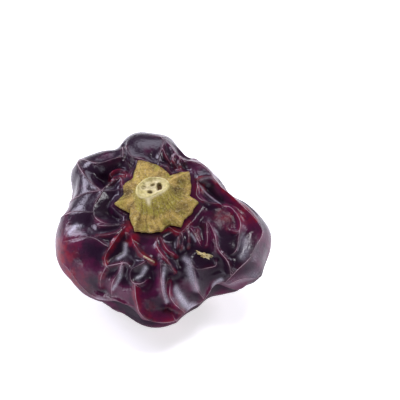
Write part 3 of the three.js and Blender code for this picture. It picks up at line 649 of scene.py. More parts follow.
def net_crests(skin):
    """Crests of the back and the underside, in the form of CRESTS"""
    spots = []
    for k in range(NET_POINTS):
        level = math.degrees(math.acos(1 - 2 * (k + 0.5) / NET_POINTS))
        down = level + scatter(k, NET_DOWN, NET_SCATTER[1])
        turn = k * GOLDEN_ANGLE + scatter(k, NET_TURN, NET_SCATTER[0])
        depth = NET_DEPTH[0] + (NET_DEPTH[1] - NET_DEPTH[0]) * draw(k, NET_HEIGHT)
        spots.append((turn, down, depth))
    places = skin.point([turn for turn, _, _ in spots], [down for _, down, _ in spots])
    crests = []
    for k, (turn, down, depth) in enumerate(spots):
        near = np.argsort(np.linalg.norm(places - places[k], axis=-1))[1:NET_NEIGHBOURS + 1]
        for other in near[near > k]:
            other_turn, other_down, other_depth = spots[other]
            half = wrap_degrees(other_turn - turn) / 2
            middle = (turn + half, (down + other_down) / 2)
            top = NET_FRONT_TOP if math.sin(math.radians(middle[0])) < NET_FRONT_SINE else NET_BACK_TOP
            if not top <= middle[1] <= NET_BOTTOM:
                continue
            bend = (middle[0] + scatter(k, BEND_TURN, NET_BEND[0]),
                    middle[1] + scatter(k, BEND_DOWN, NET_BEND[1]))
            crests.append((depth, other_depth, (turn, down), bend, (turn + 2 * half, other_down)))
    return crests


def smooth_line(points):
    """Places along a smooth line through the points"""
    p = np.array(points, float)
    p = np.vstack([2 * p[0] - p[1], p, 2 * p[-1] - p[-2]])
    share = np.linspace(0, len(points) - 1, LINE_STEPS)
    k = np.minimum(share.astype(int), len(points) - 2)
    t = (share - k)[:, None]
    a, b, c, d = (p[k + n] for n in range(4))
    return b + 0.5 * t * (c - a + t * (2 * a - 5 * b + 4 * c - d + t * (3 * (b - c) + d - a)))


def upward_tilt(places):
    """Upward part of the outward normal at each place of a closed sheet"""
    across = np.roll(places, -1, 0) - np.roll(places, 1, 0)
    along = np.gradient(places, axis=1)
    normal = np.cross(along, across)
    return normal[..., 2] / np.maximum(np.linalg.norm(normal, axis=-1), TINY)


class CrumpledSkin:
    """The dried skin: a thin sheet that hangs from its crests and sinks into its gullies"""

    def __init__(self, settings):
        self.round = RoundSkin(settings)
        self.sag = settings.sag / MM
        self.reach = settings.reach / MM
        turns = np.arange(SKIN_COLUMNS) * 360.0 / SKIN_COLUMNS
        rings = np.arange(1, SKIN_RINGS)
        self.downs = np.interp(rings, (0, FINE_RINGS, SKIN_RINGS), (0, FINE_DOWN, 180))
        self.turn, self.down = np.meshgrid(turns, self.downs, indexing="ij")
        self.points = self.round.point(self.turn, self.down)
        self.normals = self.round.normal(self.turn, self.down)
        self.hang()

    def gap(self, turn, down):
        """Distance of each vertex from a place, on the round skin"""
        return np.linalg.norm(self.points - self.round.point(turn, down), axis=-1)

    def mark(self, lines):
        """Weight and wanted height of each cell that the lines pass, shared between the nearest cells"""
        weight = np.zeros(self.turn.shape)
        height = np.zeros(self.turn.shape)
        for depths, strength, points in lines:
            line = smooth_line(points)
            column = (line[:, 0] % 360.0) / 360.0 * SKIN_COLUMNS
            row = np.interp(line[:, 1], self.downs, np.arange(len(self.downs)))
            low_column = np.floor(column).astype(int)
            low_row = np.floor(row).astype(int)
            for step_column in (0, 1):
                for step_row in (0, 1):
                    near_column = 1 - np.abs(column - low_column - step_column)
                    near_row = 1 - np.abs(row - low_row - step_row)
                    cell = ((low_column + step_column) % SKIN_COLUMNS,
                            np.clip(low_row + step_row, 0, len(self.downs) - 1))
                    np.add.at(weight, cell, near_column * near_row * strength)
                    np.add.at(height, cell, near_column * near_row * strength * depths)
        return weight, height / np.maximum(weight, WEIGHT_FLOOR)

    def crest_lines(self, crests, traces):
        """Height and strength along each crest, which fades at an end that no other crest meets"""
        share = np.linspace(0, 1, LINE_STEPS)
        lines = []
        for k, (start, end, *points) in enumerate(crests):
            others = np.concatenate(traces[:k] + traces[k + 1:])
            free = [np.linalg.norm(others - traces[k][n], axis=-1).min() > JOINED for n in (0, -1)]
            faded = free[0] * (1 - ease(share, 0, FREE_END)) + free[1] * ease(share, 1 - FREE_END, 1)
            lines.append((-(start + (end - start) * share), 1 - faded, points))
        return lines

    def gully_lines(self):
        """Height and strength along each gully, which is weaker at its ends"""
        share = np.linspace(0, 1, LINE_STEPS)
        strength = np.clip(GULLY_END_RISE * np.minimum(share, 1 - share) + GULLY_END_STRENGTH, 0, 1)
        return [(-(start + (end - start) * share), strength, points)
                for start, end, *points in GULLIES.values()]

    def fallen(self):
        """Height to which the skin falls by itself from its nearest crest"""
        crumple = np.full(self.turn.shape, CRUMPLE_LEAST)
        for turn, down, radius, amount in CRUMPLED_PLACES:
            crumple = np.maximum(crumple, amount * plateau(self.gap(turn, down), radius))
        sag = self.sag * (SAG_LEAST + (1 - SAG_LEAST) * crumple)
        slope = FALL_SLOPE[0] + (FALL_SLOPE[1] - FALL_SLOPE[0]) * crumple
        height = self.nearest_height - sag * (1 - np.exp(-slope * self.away / sag))
        for turn, down, radius, depth in SMOOTH_PLACES:
            smooth = SMOOTH_HOLD * plateau(self.gap(turn, down), radius)
            height = height * (1 - smooth) - depth * smooth
        return spread(height, FALL_ROUNDS)

    def hang(self):
        """Height of the skin over the round skin: it hangs from the crests and is drawn into the gullies"""
        crests = list(CRESTS.values()) + net_crests(self.round)
        traces = [self.round.point(*smooth_line(points).T) for _, _, *points in crests]
        crest_lines = self.crest_lines(crests, traces)
        crest_weight, crest_height = self.mark(crest_lines)
        gully_weight, gully_height = self.mark(self.gully_lines())
        self.measure_crests(traces, crest_lines)
        # Strength of each pull, in 1/mm2: a short grip length holds hard
        plain = 1 / self.reach ** 2
        gully_cells = np.minimum(gully_weight, 1)
        gully_near = spread(gully_cells, GULLY_ROUNDS)
        gully_deep = spread(gully_cells * gully_height, GULLY_ROUNDS) / np.maximum(gully_near, NEAR_FLOOR)
        gully = np.clip(gully_near * GULLY_REACH, 0, 1) / GULLY_GRIP ** 2
        crest_cells = np.clip(crest_weight, 0, 1)
        crest_near = spread(crest_cells, CREST_ROUNDS)
        crest_high = spread(crest_cells * crest_height, CREST_ROUNDS) / np.maximum(crest_near, NEAR_FLOOR)
        crest = crest_cells / CREST_GRIP ** 2
        grip = plain + gully + crest
        goal = (plain * self.fallen() + gully * gully_deep + crest * crest_high) / grip
        self.height = self.relax(goal, grip)

    def relax(self, goal, grip):
        """Height of a taut sheet that is drawn to the goal, harder where the grip is strong"""
        across = np.linalg.norm(np.roll(self.points, -1, 0) - self.points, axis=-1)
        along = np.linalg.norm(np.diff(self.points, axis=1), axis=-1)
        along = np.concatenate([along[:, :1], along], 1)
        across_pull = 1 / np.maximum(across, LEAST_STEP) ** 2
        along_pull = 1 / along ** 2
        height = goal.copy()
        for _ in range(RELAX_ROUNDS):
            pulled = across_pull * across_neighbours(height) + along_pull * along_neighbours(height)
            height = (pulled + grip * goal) / (2 * across_pull + 2 * along_pull + grip)
        return spread(height, 1)

    def measure_crests(self, traces, crest_lines):
        """Nearest crest of each vertex: signed distance, height, strength of its line, redness beside it"""
        places = np.concatenate(traces)
        tree = KDTree(len(places))
        for k, place in enumerate(places):
            tree.insert(place, k)
        tree.balance()
        shape = self.turn.shape
        found = [tree.find(place) for place in self.points.reshape(-1, 3)]
        nearest = np.array([index for _, index, _ in found]).reshape(shape)
        distance = np.array([gap for _, _, gap in found]).reshape(shape)
        tangents = np.concatenate([np.gradient(trace, axis=0) for trace in traces])
        across = np.cross(self.normals, tangents[nearest])
        gap = self.points - places[nearest]
        self.side = distance * np.where((across * gap).sum(-1) < 0, -1, 1)
        self.nearest_height = np.concatenate([depths for depths, _, _ in crest_lines])[nearest]
        firm = np.concatenate([strength for _, strength, _ in crest_lines])[nearest]
        self.away = np.hypot(distance, END_FADE * (1 - firm))
        names = np.array(list(CRESTS) + [""] * (len(traces) - len(CRESTS)))
        reds = np.array([RED_CRESTS.get(name, (0, 1)) for name in names])[nearest // LINE_STEPS]
        red, wide = reds[..., 0], reds[..., 1]
        self.red = RED_STRENGTH * red * (1 - ease(distance, RED_SHARES[0] * wide, RED_SHARES[1] * wide))
        high = 1 - ease(-self.nearest_height, *CREST_DEPTHS)
        self.crest = firm * high * (1 - ease(distance, CREST_WIDTH, CREST_RANGE))
        share = nearest % LINE_STEPS / LINE_STEPS
        self.pale = np.zeros(shape)
        for name, start, end, wide in PALE_EDGES:
            there = (names[nearest // LINE_STEPS] == name) * (share > start) * (share < end)
            self.pale += there * bell(distance, wide)

    def finished_points(self):
        """Places in the frame, level under the calyx and round at the resting spot"""
        edge = calyx_reach(self.turn) + SEAT_MARGIN
        height = -SEAT_DEPTH + (self.height + SEAT_DEPTH) * ease(self.down, edge, edge + SEAT_BLEND)
        lift = (self.points @ LIE.T)[..., 2] - self.round.lowest()
        height = height * ease(lift, 0, REST_BLEND)
        places = into_frame(self.points + self.normals * height[..., None])
        places[..., 2] = np.maximum(places[..., 2], 0)
        return places

    def surface(self, middle, x, y):
        """Places and outward normal of the skin, x and y millimetres round and down from the middle"""
        places = self.finished_points()
        turn, down = middle
        column = int(round(turn / 360 * SKIN_COLUMNS))
        row = int(np.searchsorted(self.downs, down))
        across = np.linalg.norm(self.points[column + 1, row] - self.points[column, row])
        along = np.linalg.norm(self.points[column, row + 1] - self.points[column, row])
        columns = column + x / across
        rows = row + y / along
        low_column = np.floor(columns).astype(int)
        low_row = np.floor(rows).astype(int)
        part_column = (columns - low_column)[:, None]
        part_row = (rows - low_row)[:, None]
        corner = [[places[low_column + a, low_row + b] for b in (0, 1)] for a in (0, 1)]
        upper = corner[0][0] * (1 - part_column) + corner[1][0] * part_column
        lower = corner[0][1] * (1 - part_column) + corner[1][1] * part_column
        normal = np.cross(corner[0][1] - corner[0][0], corner[1][0] - corner[0][0])
        normal = normal.mean(0) / np.linalg.norm(normal.mean(0))
        return upper * (1 - part_row) + lower * part_row, normal

    def poles(self):
        top = self.round.point(0, 0) - [0, 0, SEAT_DEPTH]
        bottom = self.round.point(0, 180)
        places = into_frame(np.stack([top, bottom]))
        places[:, 2] = np.maximum(places[:, 2], 0)
        return places

    def masks(self):
        """Values over the skin that its colours and its gloss follow"""
        thin = self.red
        for turn, down, radius, strength in RED_PLACES:
            thin = np.maximum(thin, strength * bell(self.gap(turn, down), radius))
        # Darker places, mostly painted shade in the pockets and hollows
        thick = np.zeros(self.turn.shape)
        for turn, down, radius in DARK_PLACES:
            thick = np.maximum(thick, bell(self.gap(turn, down), radius))
        # Painted lilac sheen along the stretches listed above
        painted_sheen = np.zeros(self.turn.shape)
        for strength, wide, *points in PAINTED_SHEENS.values():
            trace = self.round.point(*smooth_line(points)[::LINE_STEPS // SHEEN_STEPS].T)
            gap = np.min([np.linalg.norm(self.points - step, axis=-1) for step in trace], axis=0)
            painted_sheen = np.maximum(painted_sheen, strength * bell(gap, wide))
        gloss = ease(upward_tilt(self.finished_points()), *GLOSS_TILT)
        for turn, down, radius in DULL_PLACES:
            gloss = gloss * (1 - DULLNESS * bell(self.gap(turn, down), radius))
        sunk = (spread(self.height, HOLLOW_ROUNDS) - self.height) / HOLLOW_STEP - self.height / HOLLOW_DEPTH
        return {
            "side": np.clip(self.side, -CREST_RANGE, CREST_RANGE),
            "crest": self.crest,
            "hollow": np.clip(sunk, 0, 1),
            "thin": thin,
            "thick": thick,
            "pale": self.pale,
            "painted_sheen": painted_sheen,
            "gloss": gloss,
        }


class Calyx:
    """The calyx and its stem, in millimetres, by column and by station: over the pith and the rim of the
    cut, down the stem, out along the blade and back below it"""

    def __init__(self, settings):
        self.skin = RoundSkin(settings)
        self.stem_top = settings.stem_top / MM
        turns = np.arange(CALYX_COLUMNS) * 360.0 / CALYX_COLUMNS
        stations = np.arange(1, CALYX_RINGS) / CALYX_RINGS
        self.turn, self.station = np.meshgrid(turns, stations, indexing="ij")
        self.on_stem = self.station <= FOOT
        self.on_side = (self.station > RIM_END) & self.on_stem
        self.on_blade = (self.station > FOOT) & (self.station <= BLADE_END)
        self.on_edge = (self.station > BLADE_END) & (self.station <= EDGE_END)
        self.below = self.station > EDGE_END
        self.side_share = share_between(self.station, RIM_END, FOOT)
        self.blade_share = share_between(self.station, FOOT, BLADE_END)
        self.below_share = share_between(self.station, EDGE_END, 1)
        self.fibre = sum(self.fibres(count) for count in FIBRE_COUNTS) / len(FIBRE_COUNTS)
        tips = np.array([turn for turn, _ in CALYX_STAR[::2]])
        self.from_tip = np.abs(wrap_degrees(self.turn[..., None] - tips)).min(-1)
        self.x, self.y = self.plan(settings.stem_cut_radius / MM, settings.stem_foot_radius / MM)
        self.pit = self.pits()
        self.z = self.heights()

    def fibres(self, count):
        phase = FIBRE_PHASES * draw(count, FIBRE_PHASE)
        return np.sin(np.radians(self.turn * count) + phase) * (FIBRE_LEAST + draw(count, FIBRE_STRENGTH))

    def plan(self, cut_radius, foot_radius):
        """Places of the stations as seen along the stem"""
        around = np.stack([np.cos(np.radians(self.turn)), np.sin(np.radians(self.turn))], -1)
        centre = np.array(STEM_CENTRE)
        rim = cut_radius + sum(wave * np.sin(np.radians(count * self.turn + start))
                               for wave, count, start in CUT_WAVES)
        flare = np.interp(self.side_share, FLARE_STEPS, STEM_FLARE_OUT)
        side = rim + (foot_radius - rim) * flare + FIBRE_HEIGHT * self.fibre
        radius = np.where(self.on_side, side, np.interp(self.station, CUT_STATIONS, CUT_SHARES) * rim)
        tip = calyx_reach(self.turn)
        for tear in EDGE_TEARS:
            tip = tip + flat_ripple(EDGE_RADIUS * around[..., 0], EDGE_RADIUS * around[..., 1], *tear)
        tip = tip + TIP_REACH * np.exp(-self.from_tip / TIP_WIDTH)
        edge = self.skin.point(self.turn, tip)[..., :2]
        out = np.where(self.below, 1 - self.below_share, self.blade_share)[..., None]
        blade = (centre + foot_radius * around) * (1 - out) + edge * out
        flat = np.where(self.below[..., None], centre + (edge - centre) * out, blade)
        flat = np.where(self.on_stem[..., None], centre + radius[..., None] * around, flat)
        return flat[..., 0], flat[..., 1]

    def pits(self):
        """Depth of the pits in the cut"""
        deep = np.zeros(self.turn.shape)
        x = self.x - STEM_CENTRE[0]
        y = self.y - STEM_CENTRE[1]
        for pit_x, pit_y, wide, long, depth in PITS:
            gap = np.hypot((x - pit_x) / wide, (y - pit_y) / long)
            gap = gap + flat_ripple(self.x, self.y, *PIT_RAGS)
            deep = np.maximum(deep, depth * (1 - ease(gap, *PIT_SIDES)))
        return deep * (self.station < RIM_TOP)

    def heights(self):
        """Heights of the stations along the stem"""
        under = self.skin.seat(self.x, self.y) + CALYX_CLEARANCE
        slope = CUT_SLOPE[0] * (self.x - STEM_CENTRE[0]) + CUT_SLOPE[1] * (self.y - STEM_CENTRE[1])
        cut_level = self.stem_top + slope
        waves = flat_ripple(self.x, self.y, *BLADE_WAVES) + FIBRE_HEIGHT * self.fibre
        waves = waves + MIDRIB_HEIGHT * bell(self.from_tip, MIDRIB_WIDTH)
        thick = CALYX_EDGE * (BLADE_THICK[0] + BLADE_THICK[1] * (1 - self.blade_share) ** 2)
        thick = thick + waves * np.sin(math.pi * np.clip(self.blade_share, *BLADE_ENDS))
        top = under + np.maximum(thick, BLADE_LEAST)
        lobe = sum(height * bell(wrap_degrees(self.turn - at), wide) for at, wide, height in LIFTED_LOBES)
        lobe = lobe * np.where(self.below, 1 - self.below_share, self.blade_share) ** 3
        ragged = sum(flat_ripple(self.x, self.y, *wave) for wave in CUT_RAGS) * (self.station <= RIM_END)
        fall = np.interp(self.side_share, FLARE_STEPS, STEM_FLARE_LEFT)
        side = top + (cut_level - CUT_DEPTHS[-1] - top) * fall
        edge_share = share_between(self.station, BLADE_END, EDGE_END)
        z = cut_level - np.interp(self.station, CUT_STATIONS, CUT_DEPTHS) - ragged
        z = np.where(self.on_side, side, z)
        z = np.where(self.on_blade, top, z)
        z = np.where(self.on_edge, top * (1 - edge_share) + under * edge_share, z)
        z = np.where(self.below, under, z) + np.where(self.on_stem, 0, lobe)
        return z - self.pit

    def places(self):
        return into_frame(np.stack([self.x, self.y, self.z], -1))

    def poles(self):
        base = float(self.skin.seat(*(np.array(c) for c in STEM_CENTRE))) + CALYX_CLEARANCE
        return into_frame(np.array([[*STEM_CENTRE, self.stem_top - CUT_DEPTHS[0]], [*STEM_CENTRE, base]]))

    def masks(self):
        """Values over the calyx that its colours follow"""
        # Dark smudges: stains, and painted shade beside the foot of the stem
        smudge_and_shade = np.zeros(self.turn.shape)
        for turn, out, radius, strength in SMUDGES_AND_SHADE:
            gap_x = self.x - (STEM_CENTRE[0] + out * math.cos(math.radians(turn)))
            gap_y = self.y - (STEM_CENTRE[1] + out * math.sin(math.radians(turn)))
            smudge_and_shade = np.maximum(smudge_and_shade, strength * bell(np.hypot(gap_x, gap_y), radius))
        drip_width = DRIP_WIDTH[0] - DRIP_WIDTH[1] * np.minimum(self.side_share, 0.5)
        drip = bell(wrap_degrees(self.turn - DRIP_TURN), drip_width)
        drip = drip * (1 - ease(self.side_share, *DRIP_FADE)) * self.on_side
        return {
            "fibre": np.clip(0.5 + self.fibre, 0, 1),
            "stem": np.where(self.on_stem, 1 - ease(self.side_share, STEM_FADE, 1), 0),
            "cut": 1 - ease(self.station, RIM_END - CUT_BLEND[0], RIM_END + CUT_BLEND[1]),
            "rim": bell(self.station - RIM_TOP, RIM_WIDTH),
            "drip": drip,
            "pit": self.pit,
            "edge": ease(self.station, BLADE_END - EDGE_BLEND, BLADE_END),
            "smudge_and_shade": smudge_and_shade * (self.station > RIM_END),
        }


def deselect_all():
    if bpy.context.object and bpy.context.object.mode != "OBJECT":
        bpy.ops.object.mode_set(mode="OBJECT")
    bpy.ops.object.select_all(action="DESELECT")


def name_piece(piece, name):
    """Names the piece and its mesh, and gives the places of its vertices"""
    piece.name = name
    piece.data.name = name
    co = np.empty(len(piece.data.vertices) * 3)
    piece.data.vertices.foreach_get("co", co)
    return co.reshape(-1, 3)


def sheet_piece(name, columns, rings):
    """A flat sheet to close into a form, with the column and the ring of each of its vertices"""
    deselect_all()
    bpy.ops.mesh.primitive_grid_add(x_subdivisions=columns, y_subdivisions=rings, size=2)
    piece = bpy.context.object
    co = name_piece(piece, name)
    column = np.round((co[:, 0] + 1) / 2 * columns).astype(int) % columns
    ring = np.round((1 - co[:, 1]) / 2 * rings).astype(int)
    return piece, column, ring


def close_sheet(piece, column, ring, places, poles):
    """Moves the sheet's vertices to their places between the poles, and joins its edges"""
    rings = places.shape[1] + 1
    co = places[column, np.clip(ring, 1, rings - 1) - 1]
    co[ring == 0] = poles[0]
    co[ring == rings] = poles[1]
    piece.data.vertices.foreach_set("co", co.ravel())
    piece.data.update()
    bpy.ops.object.mode_set(mode="EDIT")
    bpy.ops.mesh.select_all(action="SELECT")
    bpy.ops.mesh.remove_doubles(threshold=JOIN_GAP)
    bpy.ops.object.mode_set(mode="OBJECT")
    bpy.ops.object.shade_smooth()


def paint(piece, name, column, ring, field):
    """Keeps a field of values on the piece as a vertex attribute"""
    rings = field.shape[1] + 1
    values = field[column, np.clip(ring, 1, rings - 1) - 1].astype(np.float32)
    values[ring == 0], values[ring == rings] = POLE_VALUES.get(name, (0, 0))
    layer = piece.data.attributes.new(name, "FLOAT", "POINT")
    layer.data.foreach_set("value", values)


def finish_piece(piece, material, replaced=None):
    piece.data.materials.clear()
    piece.data.materials.append(material)
    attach(piece, BODY)
    if replaced:
        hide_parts(replaced)


class Nodes:
    """Short calls to build a material's nodes"""

    def __init__(self, tree):
        self.tree = tree

    def add(self, kind, **values):
        node = self.tree.nodes.new(kind)
        for name, value in values.items():
            setattr(node, name, value)
        return node

    def link(self, source, target):
        self.tree.links.new(source, target)

    def feed(self, value, socket):
        if isinstance(value, bpy.types.NodeSocket):
            self.link(value, socket)
        elif hasattr(value, "__len__"):
            socket.default_value = (*value, 1.0)
        else:
            socket.default_value = value

    def attribute(self, name):
        return self.add("ShaderNodeAttribute", attribute_name=name).outputs["Fac"]

    def math(self, operation, first, second):
        node = self.add("ShaderNodeMath", operation=operation)
        for socket, value in zip(node.inputs, (first, second)):
            self.feed(value, socket)
        return node.outputs[0]

    def times(self, first, second):
        return self.math("MULTIPLY", first, second)

    def plus(self, first, second):
        return self.math("ADD", first, second)

    def span(self, value, low, high, to_low=0.0, to_high=1.0):
        node = self.add("ShaderNodeMapRange", interpolation_type="SMOOTHSTEP")
        self.feed(value, node.inputs["Value"])
        ends = {"From Min": low, "From Max": high, "To Min": to_low, "To Max": to_high}
        for name, number in ends.items():
            node.inputs[name].default_value = number
        return node.outputs[0]

    def mix(self, share, first, second):
        node = self.add("ShaderNodeMix", data_type="RGBA")
        self.feed(share, node.inputs[0])
        self.feed(first, node.inputs[6])
        self.feed(second, node.inputs[7])
        return node.outputs[2]

    def noise(self, vector, scale, detail=3.0, roughness=0.55):
        node = self.add("ShaderNodeTexNoise")
        self.link(vector, node.inputs["Vector"])
        for name, number in (("Scale", scale), ("Detail", detail), ("Roughness", roughness)):
            node.inputs[name].default_value = number
        return node.outputs["Fac"]

    def bump(self, height, strength):
        """The bump node itself, as its normal may be fed too"""
        node = self.add("ShaderNodeBump")
        node.inputs["Strength"].default_value = strength
        node.inputs["Distance"].default_value = BUMP_DISTANCE
        self.link(height, node.inputs["Height"])
        return node


def new_material(name, values):
    """A material with the uniform values set, its nodes, its shader and its Object coordinates"""
    material = bpy.data.materials.new(name)
    material.use_nodes = True
    material.node_tree.nodes.clear()
    nodes = Nodes(material.node_tree)
    shader = nodes.add("ShaderNodeBsdfPrincipled")
    output = nodes.add("ShaderNodeOutputMaterial")
    nodes.link(shader.outputs[0], output.inputs[0])
    for socket, value in values.items():
        shader.inputs[socket].default_value = value
    place = nodes.add("ShaderNodeTexCoord").outputs["Object"]
    return material, nodes, shader, place


def mottle_group():
    """Blotches and fine grain through space, shared by the skin and the calyx"""
    found = bpy.data.node_groups.get("mottle")
    if found:
        return found
    group = bpy.data.node_groups.new("mottle", "ShaderNodeTree")
    group.interface.new_socket("Vector", in_out="INPUT", socket_type="NodeSocketVector")
    for result in MOTTLE_DETAIL:
        group.interface.new_socket(result + " Scale", in_out="INPUT", socket_type="NodeSocketFloat")
        group.interface.new_socket(result, in_out="OUTPUT", socket_type="NodeSocketFloat")
    nodes = Nodes(group)
    given = nodes.add("NodeGroupInput")
    made = nodes.add("NodeGroupOutput")
    for result, detail in MOTTLE_DETAIL.items():
        noise = nodes.add("ShaderNodeTexNoise")
        nodes.link(given.outputs["Vector"], noise.inputs["Vector"])
        nodes.link(given.outputs[result + " Scale"], noise.inputs["Scale"])
        noise.inputs["Detail"].default_value = detail
        nodes.link(noise.outputs["Fac"], made.inputs[result])
    return group


def mottle(nodes, place, blotch_scale, grain_scale):
    node = nodes.add("ShaderNodeGroup", node_tree=mottle_group())
    nodes.link(place, node.inputs["Vector"])
    node.inputs["Blotch Scale"].default_value = blotch_scale
    node.inputs["Grain Scale"].default_value = grain_scale
    return node.outputs["Blotch"], node.outputs["Grain"]


def skin_material(settings):
    """Glossy dried skin: painted shade in the folds and hollows, red where it is thin, pale along the
    crests from wear and a painted highlight, and a painted lilac sheen on chosen stretches
    """
    material, nodes, shader, place = new_material("dried_skin", SKIN_VALUES)
    ramp = SKIN_RAMPS
    blotch, grain = mottle(nodes, place, *SKIN_MOTTLE)
    side = nodes.math("ABSOLUTE", nodes.attribute("side"), 0.0)
    crest = nodes.attribute("crest")
    hollow = nodes.attribute("hollow")
    # Painted shade: the hollows and the darker places push the colour towards the dark skin
    deep = nodes.plus(nodes.times(hollow, HOLLOW_PAINTED_SHADE), nodes.times(nodes.attribute("thick"), DARK_PLACES_STRENGTH))
    maroon = nodes.span(nodes.math("SUBTRACT", blotch, deep), *ramp["maroon"])
    behind = nodes.add("ShaderNodeVectorMath", operation="DOT_PRODUCT")
    nodes.link(place, behind.inputs[0])
    behind.inputs[1].default_value = BACKWARD
    back = nodes.span(behind.outputs["Value"], *BACK_START_END)
    middling = nodes.mix(back, settings.skin_maroon, settings.skin_brick)
    colour = nodes.mix(maroon, settings.skin_dark, middling)
    patchy = nodes.span(nodes.noise(place, *SKIN_PATCHES), *ramp["patchy"])
    thin = nodes.times(nodes.attribute("thin"), nodes.span(patchy, *ramp["thin"]))
    glow = nodes.math("MAXIMUM", thin, nodes.times(crest, CREST_GLOW))
    red = nodes.plus(glow, nodes.times(blotch, BLOTCH_RED))
    colour = nodes.mix(nodes.span(red, *ramp["red"]), colour, settings.skin_red)
    speckle = nodes.span(nodes.noise(place, *SKIN_SPECKLE), *ramp["speckle"])
    # Painted pale lilac sheen, speckled, over the chosen stretches
    colour = nodes.mix(nodes.times(nodes.attribute("painted_sheen"), speckle), colour, settings.skin_sheen)
    # Pale line along the crests: worn skin with a painted highlight; it also pinches the bump
    line = nodes.times(nodes.span(side, *ramp["line"]), crest)
    worn_and_glint = nodes.times(line, nodes.span(blotch, *ramp["worn_and_glint"]))
    colour = nodes.mix(worn_and_glint, colour, settings.skin_crest)
    colour = nodes.mix(nodes.attribute("pale"), colour, settings.pith)
    nodes.link(colour, shader.inputs["Base Color"])
    nodes.link(nodes.span(grain, *ramp["rough"]), shader.inputs["Roughness"])
    pinch = nodes.bump(line, CREST_PINCH)
    pucker = nodes.plus(nodes.times(grain, GRAIN_PUCKER), nodes.noise(place, *SKIN_PUCKER))
    bump = nodes.bump(pucker, SKIN_BUMP)
    nodes.link(pinch.outputs[0], bump.inputs["Normal"])
    for socket in ("Normal", "Coat Normal"):
        nodes.link(bump.outputs[0], shader.inputs[socket])
    clear = nodes.math("SUBTRACT", 1.0, nodes.times(hollow, HOLLOW_DULL))
    gloss = nodes.times(nodes.times(nodes.attribute("gloss"), clear), SKIN_GLOSS)
    nodes.link(gloss, shader.inputs["Coat Weight"])
    return material


def calyx_material(settings):
    """Dry fibrous calyx and stem with a pale cut face"""
    material, nodes, shader, place = new_material("dry_calyx", CALYX_VALUES)
    ramp = CALYX_RAMPS
    brown = settings.calyx_brown
    blotch, grain = mottle(nodes, place, *CALYX_MOTTLE)
    fleck = nodes.noise(place, *CALYX_FLECKS)
    fibre = nodes.attribute("fibre")
    green = nodes.plus(blotch, nodes.times(nodes.attribute("stem"), STEM_GREEN))
    colour = nodes.mix(nodes.span(green, *ramp["green"]), settings.calyx_straw, settings.calyx_olive)
    streak = nodes.times(nodes.span(fibre, *ramp["streak"]), nodes.span(blotch, *ramp["blotch"]))
    colour = nodes.mix(streak, colour, brown)
    patch = nodes.span(nodes.noise(place, *CALYX_PATCHES), *ramp["patch"])
    colour = nodes.mix(nodes.times(patch, PATCH_BROWN), colour, brown)
    speck = nodes.span(nodes.plus(grain, nodes.times(fibre, FIBRE_SPECK)), *ramp["speck"])
    colour = nodes.mix(nodes.times(speck, SPECK_BROWN), colour, brown)
    colour = nodes.mix(nodes.span(fleck, *ramp["fleck"]), colour, settings.pith)
    # Smudges: stains, and painted shade beside the stem's foot
    stain_and_shade = nodes.times(nodes.attribute("smudge_and_shade"), nodes.span(fleck, *ramp["stain_and_shade"]))
    colour = nodes.mix(stain_and_shade, colour, tuple(STAIN_SHADE * c for c in brown))
    colour = nodes.mix(nodes.times(nodes.attribute("edge"), EDGE_BROWN), colour, brown)
    cut = nodes.mix(nodes.span(blotch, *ramp["blotch"]), settings.pith, settings.rim)
    colour = nodes.mix(nodes.attribute("cut"), colour, cut)
    colour = nodes.mix(nodes.attribute("rim"), colour, settings.rim)
    colour = nodes.mix(nodes.attribute("drip"), colour, settings.pith)
    colour = nodes.mix(nodes.times(nodes.attribute("pit"), PIT_BROWN), colour, brown)
    nodes.link(colour, shader.inputs["Base Color"])
    nodes.link(nodes.span(grain, *ramp["rough"]), shader.inputs["Roughness"])
    relief = nodes.plus(nodes.times(fibre, FIBRE_RELIEF), nodes.plus(fleck, patch))
    nodes.link(nodes.bump(relief, CALYX_BUMP).outputs[0], shader.inputs["Normal"])
    return material


def scab_material(settings):
    """Dry corky scab"""
    material, nodes, shader, place = new_material("dry_scab", {})
    blotch, grain = mottle(nodes, place, *SCAB_MOTTLE)
    colour = nodes.mix(nodes.span(blotch, *SCAB_RAMPS["blotch"]), settings.calyx_straw, settings.pith)
    colour = nodes.mix(nodes.span(grain, *SCAB_RAMPS["speck"]), colour, settings.calyx_brown)
    nodes.link(colour, shader.inputs["Base Color"])
    nodes.link(nodes.span(grain, *SCAB_RAMPS["rough"]), shader.inputs["Roughness"])
    return material


class PEPPER_OT_fruit(bpy.types.Operator):
    """Models the crumpled skin of the fruit"""

    bl_idname = "pepper.fruit"
    bl_label = "Fruit"

    def execute(self, context):
        settings = context.scene.pepper
        skin = CrumpledSkin(settings)
        piece, column, ring = sheet_piece("pepper_skin", SKIN_COLUMNS, SKIN_RINGS)
        for name, field in skin.masks().items():
            paint(piece, name, column, ring, field)
        close_sheet(piece, column, ring, skin.finished_points(), skin.poles())
        finish_piece(piece, skin_material(settings), "fruit")
        return {"FINISHED"}


class PEPPER_OT_calyx(bpy.types.Operator):
    """Models the star-shaped calyx with its cut stem"""

    bl_idname = "pepper.calyx"
    bl_label = "Calyx and stem"

    def execute(self, context):
        settings = context.scene.pepper
        calyx = Calyx(settings)
        piece, column, ring = sheet_piece("calyx_and_stem", CALYX_COLUMNS, CALYX_RINGS)
        for name, field in calyx.masks().items():
            paint(piece, name, column, ring, field)
        close_sheet(piece, column, ring, calyx.places(), calyx.poles())
        finish_piece(piece, calyx_material(settings), "calyx")
        return {"FINISHED"}


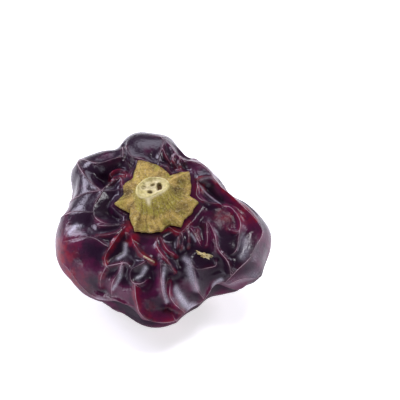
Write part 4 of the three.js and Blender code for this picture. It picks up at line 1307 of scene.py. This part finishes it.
class PEPPER_OT_scab(bpy.types.Operator):
    """Models the dry tan scab on the front of the skin"""

    bl_idname = "pepper.scab"
    bl_label = "Scab"

    def execute(self, context):
        settings = context.scene.pepper
        skin = CrumpledSkin(settings)
        deselect_all()
        bpy.ops.mesh.primitive_uv_sphere_add(segments=SCAB_SEGMENTS, ring_count=SCAB_RINGS, radius=1)
        piece = context.object
        co = name_piece(piece, "scab")
        angle = np.arctan2(co[:, 1], co[:, 0])
        out = np.hypot(co[:, 0], co[:, 1])
        ragged = out * (1 + sum(wave * np.sin(count * angle + start) for wave, count, start in SCAB_RAGS))
        x = ragged * np.cos(angle) * SCAB_SIZE[0]
        y = ragged * np.sin(angle) * SCAB_SIZE[1]
        x, y = x + SCAB_SKEW[0] * y, y + SCAB_SKEW[1] * x
        ground, normal = skin.surface(SCAB_PLACE, x, y)
        height, length, seed = SCAB_LUMPS
        lumps = height * ripple(co, length, seed) * np.sqrt(np.maximum(1 - out ** 2, 0))
        co = ground + normal * (SCAB_SIZE[2] * (co[:, 2] + lumps) * MM)[:, None]
        piece.data.vertices.foreach_set("co", co.ravel())
        piece.data.update()
        bpy.ops.object.shade_smooth()
        finish_piece(piece, scab_material(settings))
        return {"FINISHED"}


def soft_light(name, place, size, power, colour):
    bpy.ops.object.light_add(type="AREA", location=place)
    light = bpy.context.object
    light.name = name
    light.data.shape = "RECTANGLE"
    light.data.size, light.data.size_y = size
    light.data.energy = power
    light.data.color = colour
    aim = Vector(PEPPER_MIDDLE) - Vector(place)
    light.rotation_euler = aim.to_track_quat("-Z", "Y").to_euler()


def pale_floor(settings):
    deselect_all()
    bpy.ops.mesh.primitive_plane_add(size=FLOOR_SIZE)
    floor = bpy.context.object
    floor.name = "floor"
    material, nodes, shader, place = new_material("pale_floor", FLOOR_VALUES)
    shade = tuple(FLOOR_SHADE * c for c in settings.floor)
    tone = nodes.mix(nodes.noise(place, FLOOR_MOTTLE), settings.floor, shade)
    nodes.link(tone, shader.inputs["Base Color"])
    floor.data.materials.append(material)


def studio_air():
    world = bpy.data.worlds.new("studio")
    world.use_nodes = True
    background = world.node_tree.nodes["Background"]
    background.inputs["Color"].default_value = (*AIR_COLOUR, 1)
    background.inputs["Strength"].default_value = AIR_STRENGTH
    return world


def photo_camera():
    back = Vector((0, -math.cos(CAMERA_ELEVATION), math.sin(CAMERA_ELEVATION)))
    up = Vector((0, math.sin(CAMERA_ELEVATION), math.cos(CAMERA_ELEVATION)))
    right = Vector((1, 0, 0))
    half = PHOTO_SIZE / 2
    aim = right * (half - MIDDLE_PIXEL[0]) + up * (MIDDLE_PIXEL[1] - half)
    place = Vector(PEPPER_MIDDLE) + (aim * MM_PER_PIXEL + back * CAMERA_DISTANCE) * MM
    bpy.ops.object.camera_add(location=place)
    camera = bpy.context.object
    camera.name = "photo_camera"
    camera.matrix_world = Matrix.Translation(place) @ Matrix((right, up, back)).transposed().to_4x4()
    camera.data.sensor_width = SENSOR_WIDTH
    camera.data.lens = SENSOR_WIDTH * CAMERA_DISTANCE / MM_PER_PIXEL / PHOTO_SIZE
    camera.data.dof.use_dof = False
    return camera


class PEPPER_OT_stage(bpy.types.Operator):
    """Adds the pale floor, the soft lights and the camera"""

    bl_idname = "pepper.stage"
    bl_label = "Stage"

    def execute(self, context):
        scene = context.scene
        pale_floor(scene.pepper)
        scene.world = studio_air()
        for name, light in STUDIO_LIGHTS.items():
            soft_light(name, *light)
        scene.view_settings.view_transform = "Standard"
        scene.camera = photo_camera()
        return {"FINISHED"}


class PEPPER_PT_panel(bpy.types.Panel):
    """Shows the pepper's settings and the buttons that model its pieces"""

    bl_label = "Dried pepper"
    bl_idname = "PEPPER_PT_panel"
    bl_space_type = "VIEW_3D"
    bl_region_type = "UI"
    bl_category = "Pepper"

    def draw(self, context):
        settings = context.scene.pepper
        for name in settings.__annotations__:
            self.layout.prop(settings, name)
        for operator in OPERATORS:
            self.layout.operator(operator.bl_idname)


OPERATORS = (PEPPER_OT_fruit, PEPPER_OT_calyx, PEPPER_OT_scab, PEPPER_OT_stage)
CLASSES = (PepperSettings, *OPERATORS, PEPPER_PT_panel)


def register():
    for cls in CLASSES:
        bpy.utils.register_class(cls)
    bpy.types.Scene.pepper = PointerProperty(type=PepperSettings)


def unregister():
    del bpy.types.Scene.pepper
    for cls in reversed(CLASSES):
        bpy.utils.unregister_class(cls)


def main():
    register()
    bpy.ops.pepper.fruit()
    bpy.ops.pepper.calyx()
    bpy.ops.pepper.scab()
    bpy.ops.pepper.stage()
    bpy.context.view_layer.update()


if __name__ == "__main__":
    main()
